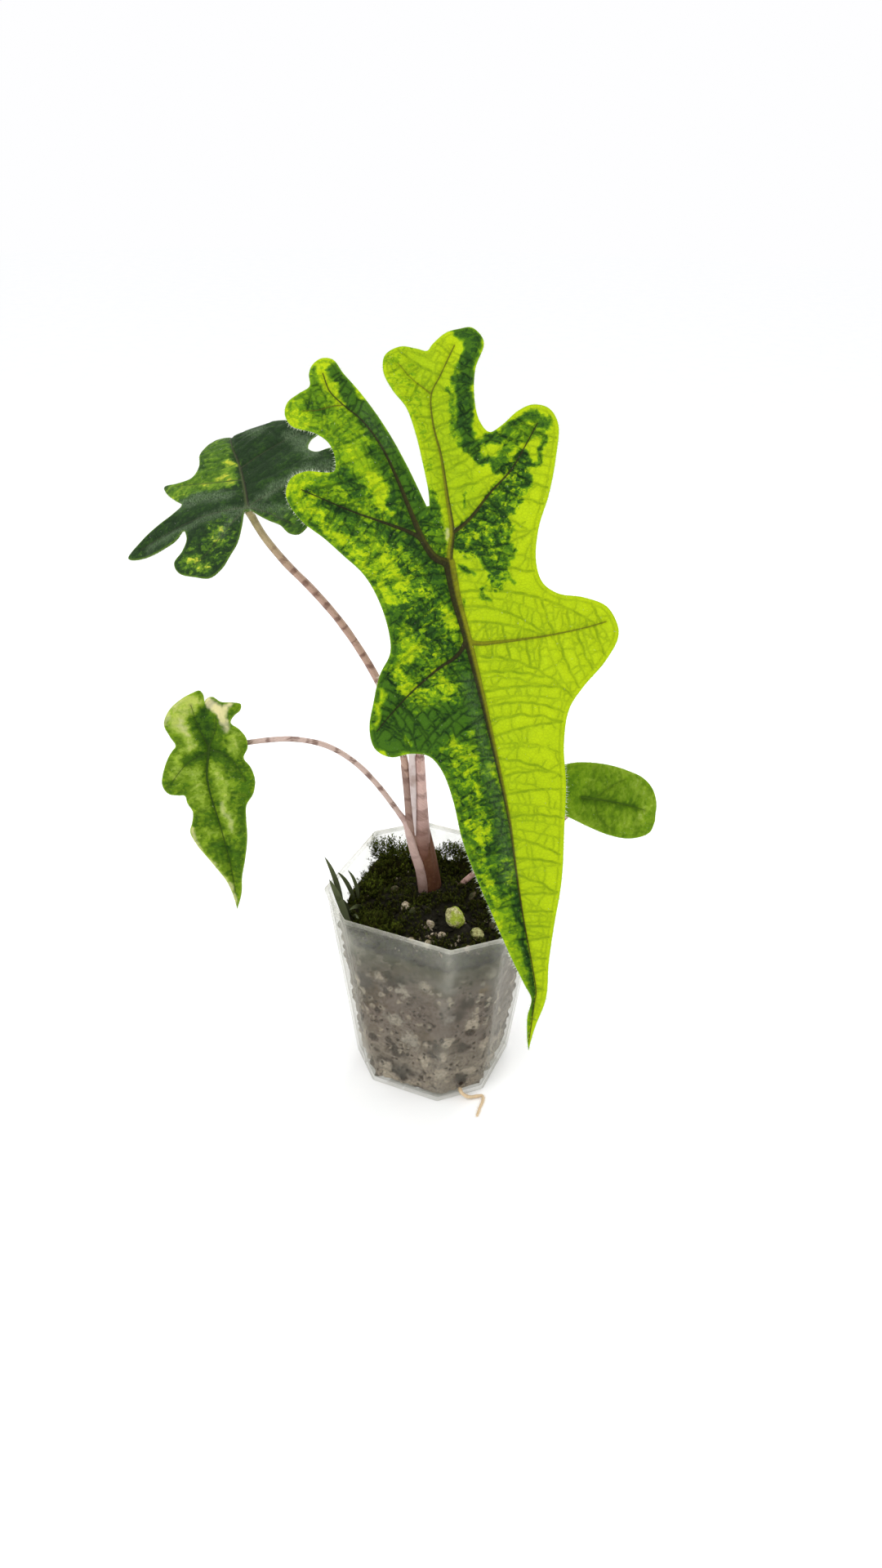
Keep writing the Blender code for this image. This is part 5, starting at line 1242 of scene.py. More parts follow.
def stone_finish(name, pale, stain, patches, stained, greener_from=None):
    """Rough porous grain with pits, dirt in them and stained patches."""
    f = Finish(name)
    place = f.object_place()
    pits = f.cells(place, 1300.0)
    grit = f.grain(place, 800.0, 6.0, 0.7)
    cloud = f.grain(place, patches, 3.0)
    if greener_from is not None:
        cloud += f.axis(place, 0).step(greener_from - 0.003, greener_from + 0.003, -0.12, 0.12)
    tint = f.times(grit.step(0.35, 0.65, 1.0, 0.0), pale, (0.4, 0.34, 0.26))
    tint = f.mix(pits.step(0.12, 0.4, 0.7, 0.0), tint, tone(70, 56, 38))
    tint = f.mix(cloud.step(0.42, 0.58, 0.0, stained), tint, stain)
    dirt = f.grain(place, 500.0, 3.0).step(0.55, 0.7, 0.0, 0.5)
    tint = f.mix(dirt, tint, tone(44, 38, 22))
    return f.finish(f.skin(tint, 0.85, 0.25, f.bump(pits + grit, 0.8, 0.0006)))


def moss_finish(settings):
    f = Finish("moss_leaf")
    place = f.object_place()
    height = f.field("height")
    sunny = f.grain(place, 110.0, 2.0).step(0.55, 0.7) * height.step(0.3, 1.0)
    spot = f.grain(place, 1400.0, 2.0).step(0.4, 0.7, 0.0, 0.35)
    tint = f.mix(height, settings.shade, settings.tip)
    tint = f.mix(f.field("tint") * 0.6, tint, tone(70, 62, 26))
    tint = f.mix(sunny, tint, tone(110, 124, 36))
    tint = f.mix(spot, tint, tone(34, 40, 14))
    return f.finish(f.glowing(0.25, f.skin(tint, 0.7, 0.06), tint))


def sprig_finish():
    f = Finish("sprig_leaf")
    streak = f.grain(f.stretch(f.object_place(), (900.0, 900.0, 120.0)), 1.0, 3.0)
    tint = f.mix(f.field("height"), tone(44, 46, 26), tone(92, 100, 66))
    tint = f.mix(streak.step(0.4, 0.7, 0.0, 0.5), tint, tone(60, 68, 44))
    return f.finish(f.skin(tint, 0.6, 0.15))


def root_finish():
    f = Finish("root_skin")
    rings = f.grain(f.along_only(f.field("along")), 1.3, 4.0)
    tint = f.mix(rings, tone(226, 206, 172), tone(190, 160, 120))
    return f.finish(f.skin(tint, 0.7, normal=f.bump(rings, 0.5, 0.0002)))


def floor_finish(settings):
    f = Finish("floor_paper")
    grain = f.grain(f.object_place(), 60.0, 6.0)
    tint = f.mix(grain.step(0.3, 0.7), settings.floor, tone(253, 254, 254))
    return f.finish(f.skin(tint, 0.7, 0.0))


# Leaves

SQUARE = 0.6   # side of the squares that veins are kept in
RIM_GAP = 1.2  # from the rim to the end of a vein
# Side veins and the next finer ones: rank, spacing, half width, sway
GROWN_VEINS = ((1, 1.0, 0.2, 7.0), (2, 0.36, 0.11, 9.0))
LONGEST_VEIN = 45.0
# Short veins that link them: spacing, greatest length, half width, sway
BRIDGES = (2.6, 5.5, 0.09, 9.0)
EDGE_HAIRS = 2.2            # to each point of the rim
POINTS_TO_A_HAIR = 120      # on the upper side
HAIR_RADII = (0.05, 0.035)  # at the edge and on the upper side


class Veins:
    """The veins of a blade, kept in small squares so that a new one can tell what it meets."""

    def __init__(self, rim, ribs, step, seed):
        self.edge = point_finder(rim)
        self.step = step
        self.draw = random.Random(seed)
        self.squares = {}
        self.lines = []     # (points, half widths, rank); the ribs have rank 0
        for line, widths in ribs:
            self.keep(line, widths, 0)

    def keep(self, points, widths, rank):
        number = len(self.lines)
        self.lines.append((np.array(points), widths, rank))
        for x, y in points:
            self.squares.setdefault((x // SQUARE, y // SQUARE), []).append((number, x, y))

    def met(self, x, y, own):
        """A point of another vein close to this place, or None."""
        for column in (-1, 0, 1):
            for row in (-1, 0, 1):
                square = (x // SQUARE + column, y // SQUARE + row)
                for number, px, py in self.squares.get(square, ()):
                    if number != own and math.hypot(px - x, py - y) < self.step * 0.95:
                        return px, py
        return None

    def grow(self, own, start, heading, curl, sway, longest, width, rank):
        """Step a vein out from vein OWN until it meets another one or nears the rim."""
        phase = self.draw.uniform(0, math.tau)
        pitch = self.draw.uniform(0.45, 0.95)
        path = [tuple(start)]
        joined = False
        for k in range(int(longest / self.step)):
            heading += curl * self.step + math.radians(sway) * math.sin(phase + k * pitch)
            x = path[-1][0] + math.cos(heading) * self.step
            y = path[-1][1] + math.sin(heading) * self.step
            found = self.met(x, y, own)
            joined = found is not None or self.edge.find((x, y, 0.0))[2] < RIM_GAP
            path.append(found or (x, y))
            if joined:
                break
        if not joined and rank == 3:
            path = path[:self.draw.randint(3, 6)]
        if len(path) > 2:
            self.keep(path, np.linspace(width, width * 0.55, len(path)), rank)

    def starts(self, line, gap, first, spread, spare):
        """Places along a line at uneven gaps, and which way the line runs at each."""
        run = np.gradient(line, axis=0)
        at = gap * self.draw.uniform(*first)
        while at < (len(line) - spare) * self.step:
            i = int(at / self.step)
            yield line[i], math.atan2(run[i][1], run[i][0])
            at += gap * self.draw.uniform(*spread)

    def grow_from_rib(self, number, gaps, rank, width, sway):
        """Veins that leave a rib in turn on both sides and arch towards its tip."""
        line = self.lines[number][0]
        for side, gap in ((1, gaps[0]), (-1, gaps[1])):
            for start, ahead in self.starts(line, gap, (0.5, 0.9), (0.8, 1.25), 3):
                heading = ahead + side * math.radians(self.draw.uniform(80, 98))
                curl = -side * math.radians(self.draw.uniform(0.9, 2.0))
                self.grow(number, start, heading, curl, sway, LONGEST_VEIN, width, rank)

    def grow_bridges(self):
        """Short veins that link the side veins."""
        gap, longest, width, sway = BRIDGES
        for number in range(len(self.lines)):
            line, _, rank = self.lines[number]
            if rank == 0:
                continue
            for start, ahead in self.starts(line, gap, (0.3, 1.0), (0.6, 1.4), 2):
                turn = math.radians(self.draw.choice((1, -1)) * self.draw.uniform(62, 112))
                self.grow(number, start, ahead + turn, 0.0, sway, longest, width, 3)

    def reach(self, flat, ranks):
        """Distance from each place to the nearest vein of some ranks, less its half width."""
        spots, widths = [], []
        for line, half, rank in self.lines:
            if rank in ranks:
                spots += [line[:-1] + (line[1:] - line[:-1]) * part for part in (0.0, 1 / 3, 2 / 3)]
                spots.append(line[-1:])
                widths += [half[:-1]] * 3 + [half[-1:]]
        numbers, gaps = nearest(point_finder(np.vstack(spots)), flat)
        return gaps - np.concatenate(widths)[numbers]


def wandered(flat, reach):
    """The places moved by noise, so that what is drawn with them has a ragged edge."""
    noise.seed_set(WANDER_SEED)
    moves = []
    for x, y in flat:
        coarse = noise.noise_vector((x * 0.22, y * 0.22, 0.0))
        fine = noise.noise_vector((x * 0.75, y * 0.75, 7.0))
        moves.append((coarse[0] * 1.3 + fine[0] * 0.6, coarse[1] * 1.3 + fine[1] * 0.6))
    return flat + np.array(moves) * reach


def painted(flat, start, marks, feather):
    """START at each place, painted over in turn by strokes that fade out at their edges."""
    shares = np.full(len(flat), float(start))
    for value, width, points in marks:
        away = reach_to(flat, [(page(points), np.full(len(points), width))])
        cover = np.clip(0.5 - away / (2 * feather), 0.0, 1.0)
        shares += (value - shares) * cover * cover * (3 - 2 * cover)
    return shares


def rib_darkness(blade, flat, ribs):
    """How dark the nearest rib is on the side where each place lies."""
    best = np.full(len(flat), 1e9)
    dark = np.zeros(len(flat))
    for (line, widths), (_, _, (left, right), _) in zip(ribs, blade.ribs):
        away = reach_to(flat, [(line, widths)])
        numbers, _ = nearest(point_finder(line), flat)
        run = unit(np.gradient(line, axis=0))[numbers]
        off = flat - line[numbers]
        side = run[:, 0] * off[:, 1] - run[:, 1] * off[:, 0]
        shares = left + (right - left) * np.clip(0.5 + side / 0.8, 0.0, 1.0)
        dark = np.where(away < best, shares, dark)
        best = np.minimum(away, best)
    return dark


def make_leaf(blade, settings):
    """The blade with its veins sunk above and raised below, and fine hairs on it."""
    step = settings.mesh_step / MM * blade.step
    left, right = (smooth_line(page(stroke), step) for stroke in blade.strokes)
    rim = np.vstack([left[:-1], right])
    ribs = []
    for (thick, thin), _, _, points in blade.ribs:
        line = smooth_line(page(points), step)
        ribs.append((line, thin + (thick - thin) * np.linspace(1.0, 0.0, len(line)) ** 2.2))
    veins = Veins(rim, ribs, step, len(blade.name))
    for rank, closer, width, sway in GROWN_VEINS:
        for number, (_, gaps, _, _) in enumerate(blade.ribs):
            veins.grow_from_rib(number, np.array(gaps) * closer, rank, width, sway)
    veins.grow_bridges()
    flat, faces = triangulate(rim, [line for line, _, _ in veins.lines], step)
    rib = reach_to(flat, ribs)
    vein = veins.reach(flat, (1,))
    net = veins.reach(flat, (2, 3))
    edge = reach_to(flat, [(np.vstack([rim, rim[:1]]), np.zeros(len(rim) + 1))])
    astray = wandered(flat, blade.stray)
    marking = painted(astray, blade.base, blade.marks, blade.feather)
    if blade.name == "leaf_main":
        marking = sharp_at_midrib(blade, flat, astray, marking)
    normals = blade_normals(blade, flat)
    fade = np.clip(edge / 2.0, 0.0, 1.0)
    broad = np.clip(np.minimum(rib, vein), 0.0, None)
    close = np.clip(np.minimum(broad, net), 0.0, None)
    rise = settings.puff / MM * (1 - np.exp(-(broad / 1.5) ** 2)) * fade
    rise += settings.quilt / MM * (1 - np.exp(-(close / 0.6) ** 2)) * fade
    ridge = np.exp(-(np.clip(rib, 0.0, None) / 0.5) ** 2)
    half = settings.blade / MM / 2
    up = rise + half - settings.groove / MM * ridge
    down = rise - half - settings.rib_depth / MM * ridge
    top, bottom = (bent(blade, flat) + normals * away[:, None] for away in (up, down))
    both = {"plan": np.pad(flat, ((0, 0), (0, 1))), "rib": rib, "vein": vein, "net": net,
            "rim": edge, "marking": marking, "bark": rib_darkness(blade, flat, ribs),
            "shade": painted(flat, 0.0, blade.shade, 5.0),
            "pale": painted(astray, 0.0, blade.pale, 0.6),
            "broken": painted(flat, blade.fleck, blade.broken, 2.0),
            "frost": painted(astray, blade.fuzz, blade.frost, 2.0)}
    fields = {name: np.concatenate([values, values]) for name, values in both.items()}
    fields["under"] = np.repeat([0.0, 1.0], len(flat))
    add_piece(blade.name + "_blade", np.vstack([top, bottom]), thick_faces(faces, len(flat)),
              leaf_finish(blade, settings), blade.name, (blade.name,), fields, smooth=60.0)
    add_hairs(blade, rim, flat, top, normals, settings)


def sharp_at_midrib(blade, flat, astray, marking):
    """On the main blade no marking crosses the midrib: the half to its right is lime."""
    tipward = -flat[:, 1]
    middle = midrib(blade, tipward)
    low = np.clip((tipward - 12.0) / 4.0, 0.0, 1.0)
    lime = marking + (blade.base - marking) * low
    left_only = [mark for mark in blade.marks if min(x for x, _ in mark[2]) < 0]
    dark = painted(astray, 0.6, left_only, blade.feather)
    beside = np.clip(1 - (middle - flat[:, 0]) / 4.0, 0.0, 1.0) * (tipward > 0)
    return np.where(flat[:, 0] > middle, lime, np.maximum(marking, dark * beside))


def add_hairs(blade, rim, flat, top, normals, settings):
    """Fine pale hairs round the edge and thinly over the upper side."""
    draw = np.random.default_rng(HAIR_SEED)
    size = settings.hair / MM
    count = int(len(rim) * EDGE_HAIRS)
    at = draw.uniform(0, len(rim) - 2, count)
    low = at.astype(int)
    along = rim[low + 1] - rim[low]
    places = rim[low] + along * (at - low)[:, None]
    outward = unit(np.stack([-along[:, 1], along[:, 0]], axis=1))
    outward *= -1 if inside(places[:1] + outward[:1] * 0.5, rim)[0] else 1
    lean = draw.normal(0, 0.35, (count, 2))
    reach = size * draw.uniform(0.4, 1.3, (count, 1))
    roots = bent(blade, places - outward * 0.05)
    ends = bent(blade, places + (outward + lean) * reach)
    ends += blade_normals(blade, places) * draw.normal(0, 0.25, (count, 1)) * reach
    picked = draw.integers(0, len(flat), len(flat) // POINTS_TO_A_HAIR)
    slope = draw.normal(0, 0.5, (len(picked), 3))
    tall = size * draw.uniform(0.3, 0.8, (len(picked), 1))
    tips = top[picked] + (normals[picked] + slope) * tall
    radii = np.repeat(HAIR_RADII, (count, len(picked)))[:, None]
    points, faces = spikes(np.vstack([roots, top[picked]]), np.vstack([ends, tips]), radii)
    finish = bpy.data.materials["leaf_hair"]
    add_piece(blade.name + "_hairs", points, faces, finish, blade.name)


# Stalks, stem and root

def stalk_route(name):
    """The stalk's middle line, ending inside the rib of its blade, and its end radii."""
    leaf, radii, points = STALKS[name]
    blade = next(blade for blade in BLADES if blade.name == leaf)
    foot = bent(blade, page(blade.ribs[0][3][:1]))[0]
    down = blade_turn(blade) @ np.array([0.0, 0.0, -1.0])
    return np.vstack([points, foot + down * 4.6, foot + down * 1.3]), radii


def add_rod(name, rod, finish, slot, replaces=(), shift=0.0):
    """A tube whose finish is told how far along and around it each point is."""
    points, faces, along, around = rod
    fields = {"along": along + shift, "share": along / along.max(), "around": around}
    add_piece(name, points, faces, finish, slot, replaces, fields)


def evenly(values, count):
    """VALUES spread evenly over COUNT points."""
    return np.interp(np.linspace(0.0, 1.0, count), np.linspace(0.0, 1.0, len(values)), values)


def ring_middles(line, sides):
    """For each point of a tube the middle of its ring."""
    return np.repeat(np.vstack([line[:1], line, line[-1:]]), sides, axis=0)


def make_stalk(name, settings):
    route, radii = stalk_route(name)
    line = smooth_line(route, STALK_STEP)
    reach = np.arange(len(line)) * STALK_STEP
    wide = radii[0] + (radii[1] - radii[0]) * np.linspace(0.0, 1.0, len(line))
    wide *= 1 + 0.035 * np.sin(reach * 0.55) * np.sin(reach * 0.13 + 1.0)
    wide *= 1 + 0.28 * np.exp(-((reach[-1] - reach) / 2.2) ** 2)
    fresh_from, spacing, pale = STALK_LOOKS[name]
    finish = stalk_finish(name, settings, fresh_from, skin=pale and tone(*pale), spacing=spacing)
    add_rod(name + "_skin", tube(line, wide, settings.sides), finish, "petiole", (name,),
            40 * len(name))


def make_stem(settings):
    """The stem base: a mottled core with the stalks' sheaths wrapped round it."""
    line = smooth_line(STEM_ROUTE, STEM_STEP)
    wide, deep = (evenly(halves, len(line)) for halves in (STEM_HALF_WIDTHS, STEM_HALF_DEPTHS))
    sides = settings.sides * 2
    points, faces, along, around = tube(line, wide, sides, deep, tip=0.3)
    turn = np.arctan2(around[:, 1], around[:, 0])
    axis = ring_middles(line, sides)
    fold = 1 - 0.09 * np.exp(-((turn + 0.9 - along * 0.012) / 0.16) ** 2)
    fold -= 0.06 * np.exp(-((turn - 1.9 + along * 0.01) / 0.2) ** 2)
    fold += 0.02 * np.sin(turn * 7 + along * 0.05)
    core = (axis + (points - axis) * fold[:, None], faces, along, around)
    add_rod("stem_core", core, stem_finish(settings), "stem", ("stem_base",))
    for i, (name, radii, flatness, route) in enumerate(SHEATHS):
        if name in SHEATH_LOOKS:
            banding, skin, low, dark_to = SHEATH_LOOKS[name]
            finish = stalk_finish(name, settings, NEVER_FRESH, banding, tone(*skin), tone(*low),
                                  dark_to=dark_to)
        else:
            finish = sheath_finish(settings)
        line = smooth_line(route, STEM_STEP)
        wide = evenly(radii, len(line))
        rod = tube(line, wide, settings.sides, wide * flatness)
        add_rod("stem_" + name, rod, finish, "stem", shift=13 * i)


def make_root():
    line = smooth_line(ROOT_ROUTE, ROOT_STEP)
    reach = np.arange(len(line)) * ROOT_STEP
    wide = np.linspace(0.7, 0.45, len(line)) * (1 + 0.08 * np.sin(reach * 1.7))
    points, faces, along, _ = tube(line, wide, ROOT_SIDES)
    draw = np.random.default_rng(ROOT_SEED)
    picked = draw.integers(ROOT_SIDES, len(points) - ROOT_SIDES, ROOT_HAIRS)
    middles = ring_middles(line, ROOT_SIDES)[picked]
    outward = unit(points[picked] - middles)
    outward += draw.normal(0, 0.4, outward.shape)
    tips = points[picked] + outward * draw.uniform(0.3, 0.9, (ROOT_HAIRS, 1))
    tips[:, 2] = np.maximum(tips[:, 2], 0.05)
    hairs = spikes(middles, tips, 0.04)
    fields = {"along": np.concatenate([along, np.zeros(len(hairs[0]))])}
    add_piece("root_skin", *join_bodies(((points, faces), hairs)), root_finish(), "root",
              ("root_tip",), fields)


# Pot and mix

def pot_size(height):
    """Half the pot's width, and the length of a cut corner along each side, at a height."""
    at = height / POT_HEIGHT
    half = (POT_BASE_WIDTH + (POT_RIM_WIDTH - POT_BASE_WIDTH) * at) / 2
    return half, POT_BASE_CUT + (POT_RIM_CUT - POT_BASE_CUT) * at


def pot_ring(height, inset, corner=1.6, corner_points=CORNER_POINTS, splits=SIDE_POINTS):
    """Outline of the pot at HEIGHT, moved in by INSET, with rounded corners."""
    half, leg = pot_size(height)
    half -= inset
    near = half - (leg - inset * (2 - math.sqrt(2)))
    corners = [(-half, -near), (-near, -half), (near, -half), (half, -near),
               (half, near), (near, half), (-near, half), (-half, near)]
    corners = [np.array(place) for place in corners]
    reach = corner * math.tan(math.radians(22.5))
    points = []
    for i, place in enumerate(corners):
        following = corners[(i + 1) % 8]
        back, ahead = corners[i - 1] - place, following - place
        start = place + back / np.linalg.norm(back) * reach
        end = place + ahead / np.linalg.norm(ahead) * reach
        for t in np.linspace(0.0, 1.0, corner_points):
            points.append((1 - t) ** 2 * start + 2 * t * (1 - t) * place + t * t * end)
        onward = following - ahead / np.linalg.norm(ahead) * reach
        extra = splits[i % 2]
        points += [end + (onward - end) * (k + 1) / (extra + 1) for k in range(extra)]
    turn = math.radians(POT_TURN)
    turned = np.array(((math.cos(turn), -math.sin(turn)), (math.sin(turn), math.cos(turn))))
    flat = np.array(points) @ turned.T
    return np.column_stack([flat, np.full(len(flat), height)])


def mix_edge(gap):
    """A coarse flat outline, GAP inside the edge of the mix."""
    return pot_ring(SOIL_EDGE, MIX_INSET + gap, 1.2, 3, (2, 2))[:, :2]


def make_pot(settings):
    """The moulded shell with its lip, foot, drain slots and floor holes."""
    inner = LIP_PROUD + POT_WALL
    foot = POT_HEIGHT - LIP_HEIGHT
    profile = [(0.0, 1.5), (0.15, 0.95), (0.7, LIP_PROUD)]
    profile += [(height, LIP_PROUD) for height in np.linspace(6.0, foot, 12)]
    profile += [(foot + 0.25, 0.35), (foot + 0.6, 0.08), (foot + 1.0, 0.0), (79.4, 0.0),
                (79.85, 0.15), (80.0, 0.45), (80.0, 1.0), (79.8, 1.3), (79.3, inner)]
    profile += [(height, inner) for height in np.linspace(74.0, 4.0, 12)]
    profile += [(1.9, inner + 0.15), (1.4, inner + 0.45), (POT_FLOOR, inner + 0.9)]
    rings = [pot_ring(height, inset) for height, inset in profile]
    cut, side = (CORNER_POINTS + extra for extra in SIDE_POINTS)
    bends = np.cumsum([CORNER_POINTS // 2] + [cut, side] * 3 + [cut])
    near = [np.linalg.norm(ring[:, None] - ring[bends][None], axis=2).min(axis=1)
            for ring in rings]
    # corner: nearness to the bends, where the finish paints milky highlights
    fields = {"corner": np.exp(-(np.concatenate(near) / 2.6) ** 2)}
    shell = add_piece("pot_shell", np.vstack(rings), skin_faces(len(rings), len(rings[0])),
                      pot_finish(settings), "pot", ("pot",), fields, smooth=35.0)
    cut_drains(shell)


def cut_drains(shell):
    """Take the slots low in the cut corners and the floor's holes out of the shell."""
    half, cut = pot_size(5.0)
    face = half * math.sqrt(2) - cut / math.sqrt(2)
    bodies = []
    for i in range(4):
        turn = math.radians(POT_TURN + 45 + 90 * i)
        out = np.array([math.cos(turn), math.sin(turn), 0.0])
        side = np.array([-out[1], out[0], 0.0])
        ring = []
        for angle in circle(16):
            tall = SLOT_HALF_STRAIGHT * (1 if math.sin(angle) > 0 else -1)
            tall += SLOT_HALF_WIDTH * math.sin(angle)
            ring.append(side * SLOT_HALF_WIDTH * math.cos(angle)
                        + np.array([0.0, 0.0, SLOT_MIDDLE + tall]))
        bodies.append(prism(ring, out * (face - 5.0), out * (face + 4.0)))
        hole = turn + math.radians(45)
        middle = np.array([HOLE_OUT * math.cos(hole), HOLE_OUT * math.sin(hole), 0.0])
        ring = [(HOLE_RADIUS * math.cos(angle), HOLE_RADIUS * math.sin(angle), 0.0)
                for angle in circle(28)]
        bodies.append(prism(ring, middle + (0.0, 0.0, -1.0), middle + (0.0, 0.0, 1.35)))
    cutter = new_solid("drain_cutter", *join_bodies(bodies))
    modifier = shell.modifiers.new("drains", "BOOLEAN")
    modifier.operation = "DIFFERENCE"
    modifier.solver = "EXACT"
    modifier.object = cutter
    bpy.context.view_layer.update()
    graph = bpy.context.evaluated_depsgraph_get()
    mesh = bpy.data.meshes.new_from_object(shell.evaluated_get(graph))
    shell.modifiers.clear()
    shell.data = mesh
    bpy.data.objects.remove(cutter, do_unlink=True)


def circle(count):
    return [math.tau * k / count for k in range(count)]


def prism(ring, start, end):
    """A ring of points pushed from START to END."""
    return np.vstack([np.array(ring) + start, np.array(ring) + end]), skin_faces(2, len(ring))


def soil_height(x, y):
    """Height of the mix as in the model: a low dome with lumps."""
    at = min(1.0, math.hypot(x, y) / SOIL_RADIUS)
    lumps = noise.noise(Vector((x, y, 3.0)) * 0.13) + 0.5 * noise.noise(Vector((x, y, 9.0)) * 0.3)
    return SOIL_EDGE + SOIL_DOME * (1 - at ** 2) + SOIL_LUMP * 2 * lumps * (1 - at ** 4)


def on_mix(places, rise):
    """The flat places as points RISE above the mix."""
    return np.column_stack([places, np.array([soil_height(x, y) for x, y in places]) + rise])


def crumbs_at(place, size):
    """Height of crumbs at a place, from 0 between them to about 1 on their tops."""
    distances, _ = noise.voronoi(Vector(place) * size)
    return min(1.0, (distances[1] - distances[0]) * 1.6)


def make_mix(settings):
    """The plug of mix: lumpy where it presses on the pot, and crumbly on top."""
    heights = np.arange(POT_FLOOR + 0.5, SOIL_EDGE + 0.1, MIX_RISE)
    rings = [pot_ring(height, MIX_INSET, 1.2, 3, (9, 38)) for height in heights]
    count = len(rings[0])
    sunk = []
    for x, y, z in np.vstack(rings):
        deep = 1.5 * (1 - crumbs_at((x, y, z), 0.26)) + 0.35 * (1 - crumbs_at((x, y, z), 0.9))
        away = math.hypot(x, y)
        sunk.append((x - x / away * deep, y - y / away * deep, z))
    flat, faces = triangulate(np.array(sunk)[-count:, :2], [], MIX_STEP)
    tops = []
    for i, (x, y) in enumerate(flat):
        crumb = 0.9 * crumbs_at((x, y, 0.0), 0.45) + 0.35 * crumbs_at((x, y, 5.0), 1.2)
        tops.append((x, y, SOIL_EDGE if i < count else soil_height(x, y) + (crumb - 0.7)))
    walls = skin_faces(len(rings), count)[:-1]
    lifted = faces + (len(sunk) - count)
    add_piece("mix_plug", sunk[:-count] + tops, walls + lifted.tolist(), mix_finish(settings),
              "soil", ("soil",), smooth=70.0)
    add_chips(settings)


def ball(detail):
    """Corners and faces of a round ball with a radius of 1."""
    made = bmesh.new()
    bmesh.ops.create_icosphere(made, subdivisions=detail, radius=1.0)
    corners = [vert.co.copy() for vert in made.verts]
    faces = [[vert.index for vert in face.verts] for face in made.faces]
    made.free()
    return corners, faces


def add_chips(settings):
    """Loose bits of bark and small grains scattered over the mix."""
    draw = random.Random(CHIP_SEED)
    wall = mix_edge(1.2)
    corners, faces = ball(1)
    for name, number, sizes, flats in CHIPS:
        bodies = []
        while len(bodies) < number:
            x, y = draw.uniform(-33, 33), draw.uniform(-33, 33)
            if name == "small_grains" and len(bodies) % 2:
                x, y = draw.gauss(-1.0, 4.0), draw.gauss(-23.0, 3.5)
            if not inside(np.array([[x, y]]), wall)[0]:
                continue
            size = draw.uniform(*sizes)
            shape = Vector((1.0, draw.uniform(0.35, 0.9), draw.uniform(*flats)))
            turn = [draw.uniform(-0.6, 0.6), draw.uniform(-0.6, 0.6), draw.uniform(0, 6.3)]
            turn = Euler(turn).to_matrix()
            middle = Vector((x, y, soil_height(x, y) + size * 0.1))
            bodies.append(([middle + turn @ (corner * shape * size * draw.uniform(0.75, 1.1))
                            for corner in corners], faces))
        if name == "bark_chips":
            finish, slot = mix_finish(settings), "soil"
        else:
            finish = stone_finish("small_grain", settings.stone, settings.bark, 300.0, 0.5)
            slot = "pumice"
        add_piece(name, *join_bodies(bodies), finish, slot, smooth=25.0)


def make_stones(settings):
    """Porous pale grains and the two green lumps, half sunk where the model has them."""
    pale = stone_finish("pumice_grain", settings.stone, tone(110, 104, 70), 300.0, 0.6)
    greens = (stone_finish("green_lump", tone(206, 204, 146), settings.algae, 210.0, 0.85,
                           LUMPS[0][1][0] * MM),
              stone_finish("grey_lump", tone(178, 178, 122), tone(106, 118, 46), 160.0, 0.9))
    dirty = stone_finish("dirty_grain", tone(104, 94, 70), tone(44, 50, 22), 260.0, 0.9)
    for i, (centre, radius, lift) in enumerate(GRAINS):
        name = "pumice_%02d" % (i + 1)
        add_piece(name + "_grain", *stone_body(centre, radius, lift, GRAIN_SEED + i),
                  dirty if i in DIRTY_GRAINS else pale, "pumice", (name,))
    for i, (name, centre, radius, lift) in enumerate(LUMPS):
        add_piece(name + "_stone", *stone_body(centre, radius, lift, LUMP_SEED + i),
                  greens[i], "green_lump", (name,))


def stone_body(centre, radius, lift, seed):
    """A rough, pitted, slightly flat ball."""
    draw = random.Random(seed)
    middle = Vector((*centre, soil_height(*centre) + lift * radius * 0.5))
    turn = Euler([draw.uniform(0, math.tau) for _ in range(3)]).to_matrix()
    shape = Vector((1.0, draw.uniform(0.78, 0.95), draw.uniform(0.66, 0.85)))
    corners, faces = ball(4)
    points = []
    for corner in corners:
        at = corner * 1.6 + Vector((seed, 0, 0))
        rough = 1 + sum(high * noise.noise(at * close)
                        for high, close in ((0.16, 1), (0.07, 3), (0.035, 8)))
        pit = 0.05 * max(0.0, 0.35 - noise.voronoi(at * 2.6)[0][0]) / 0.35
        points.append(middle + turn @ (corner * shape) * (radius * (rough - pit)))
    return points, faces


# Moss

def leaflets(bases, tips, width, lift):
    """A slim folded leaf from each base to its tip."""
    headings = tips - bases
    side = unit(np.cross(headings, np.array([0.0, 0.0, 1.0]) + headings[:, [1, 2, 0]] * 0.3))
    up = unit(np.cross(side, headings))
    middle = bases + headings * 0.42
    corners = [bases, middle + side * width + up * lift, middle - side * width + up * lift, tips]
    return four_point_bodies(corners, ((0, 2, 1), (0, 1, 3), (0, 3, 2), (1, 2, 3)))


def moss_height(x, y, patch):
    """Height of a cushion over the mix, from its middle to its rim."""
    _, centre, halves, turn, height = patch
    angle = math.radians(turn)
    along = (x - centre[0]) * math.cos(angle) + (y - centre[1]) * math.sin(angle)
    across = (y - centre[1]) * math.cos(angle) - (x - centre[0]) * math.sin(angle)
    at = min(1.0, math.hypot(along / halves[0], across / halves[1]))
    return height + (0.6 - height) * at * at


def oval_places(patch, along, across):
    """Places this far along and across a turned oval cushion from its middle."""
    _, centre, _, turn, _ = patch
    angle = math.radians(turn)
    return np.stack([centre[0] + along * math.cos(angle) - across * math.sin(angle),
                     centre[1] + along * math.sin(angle) + across * math.cos(angle)], axis=1)


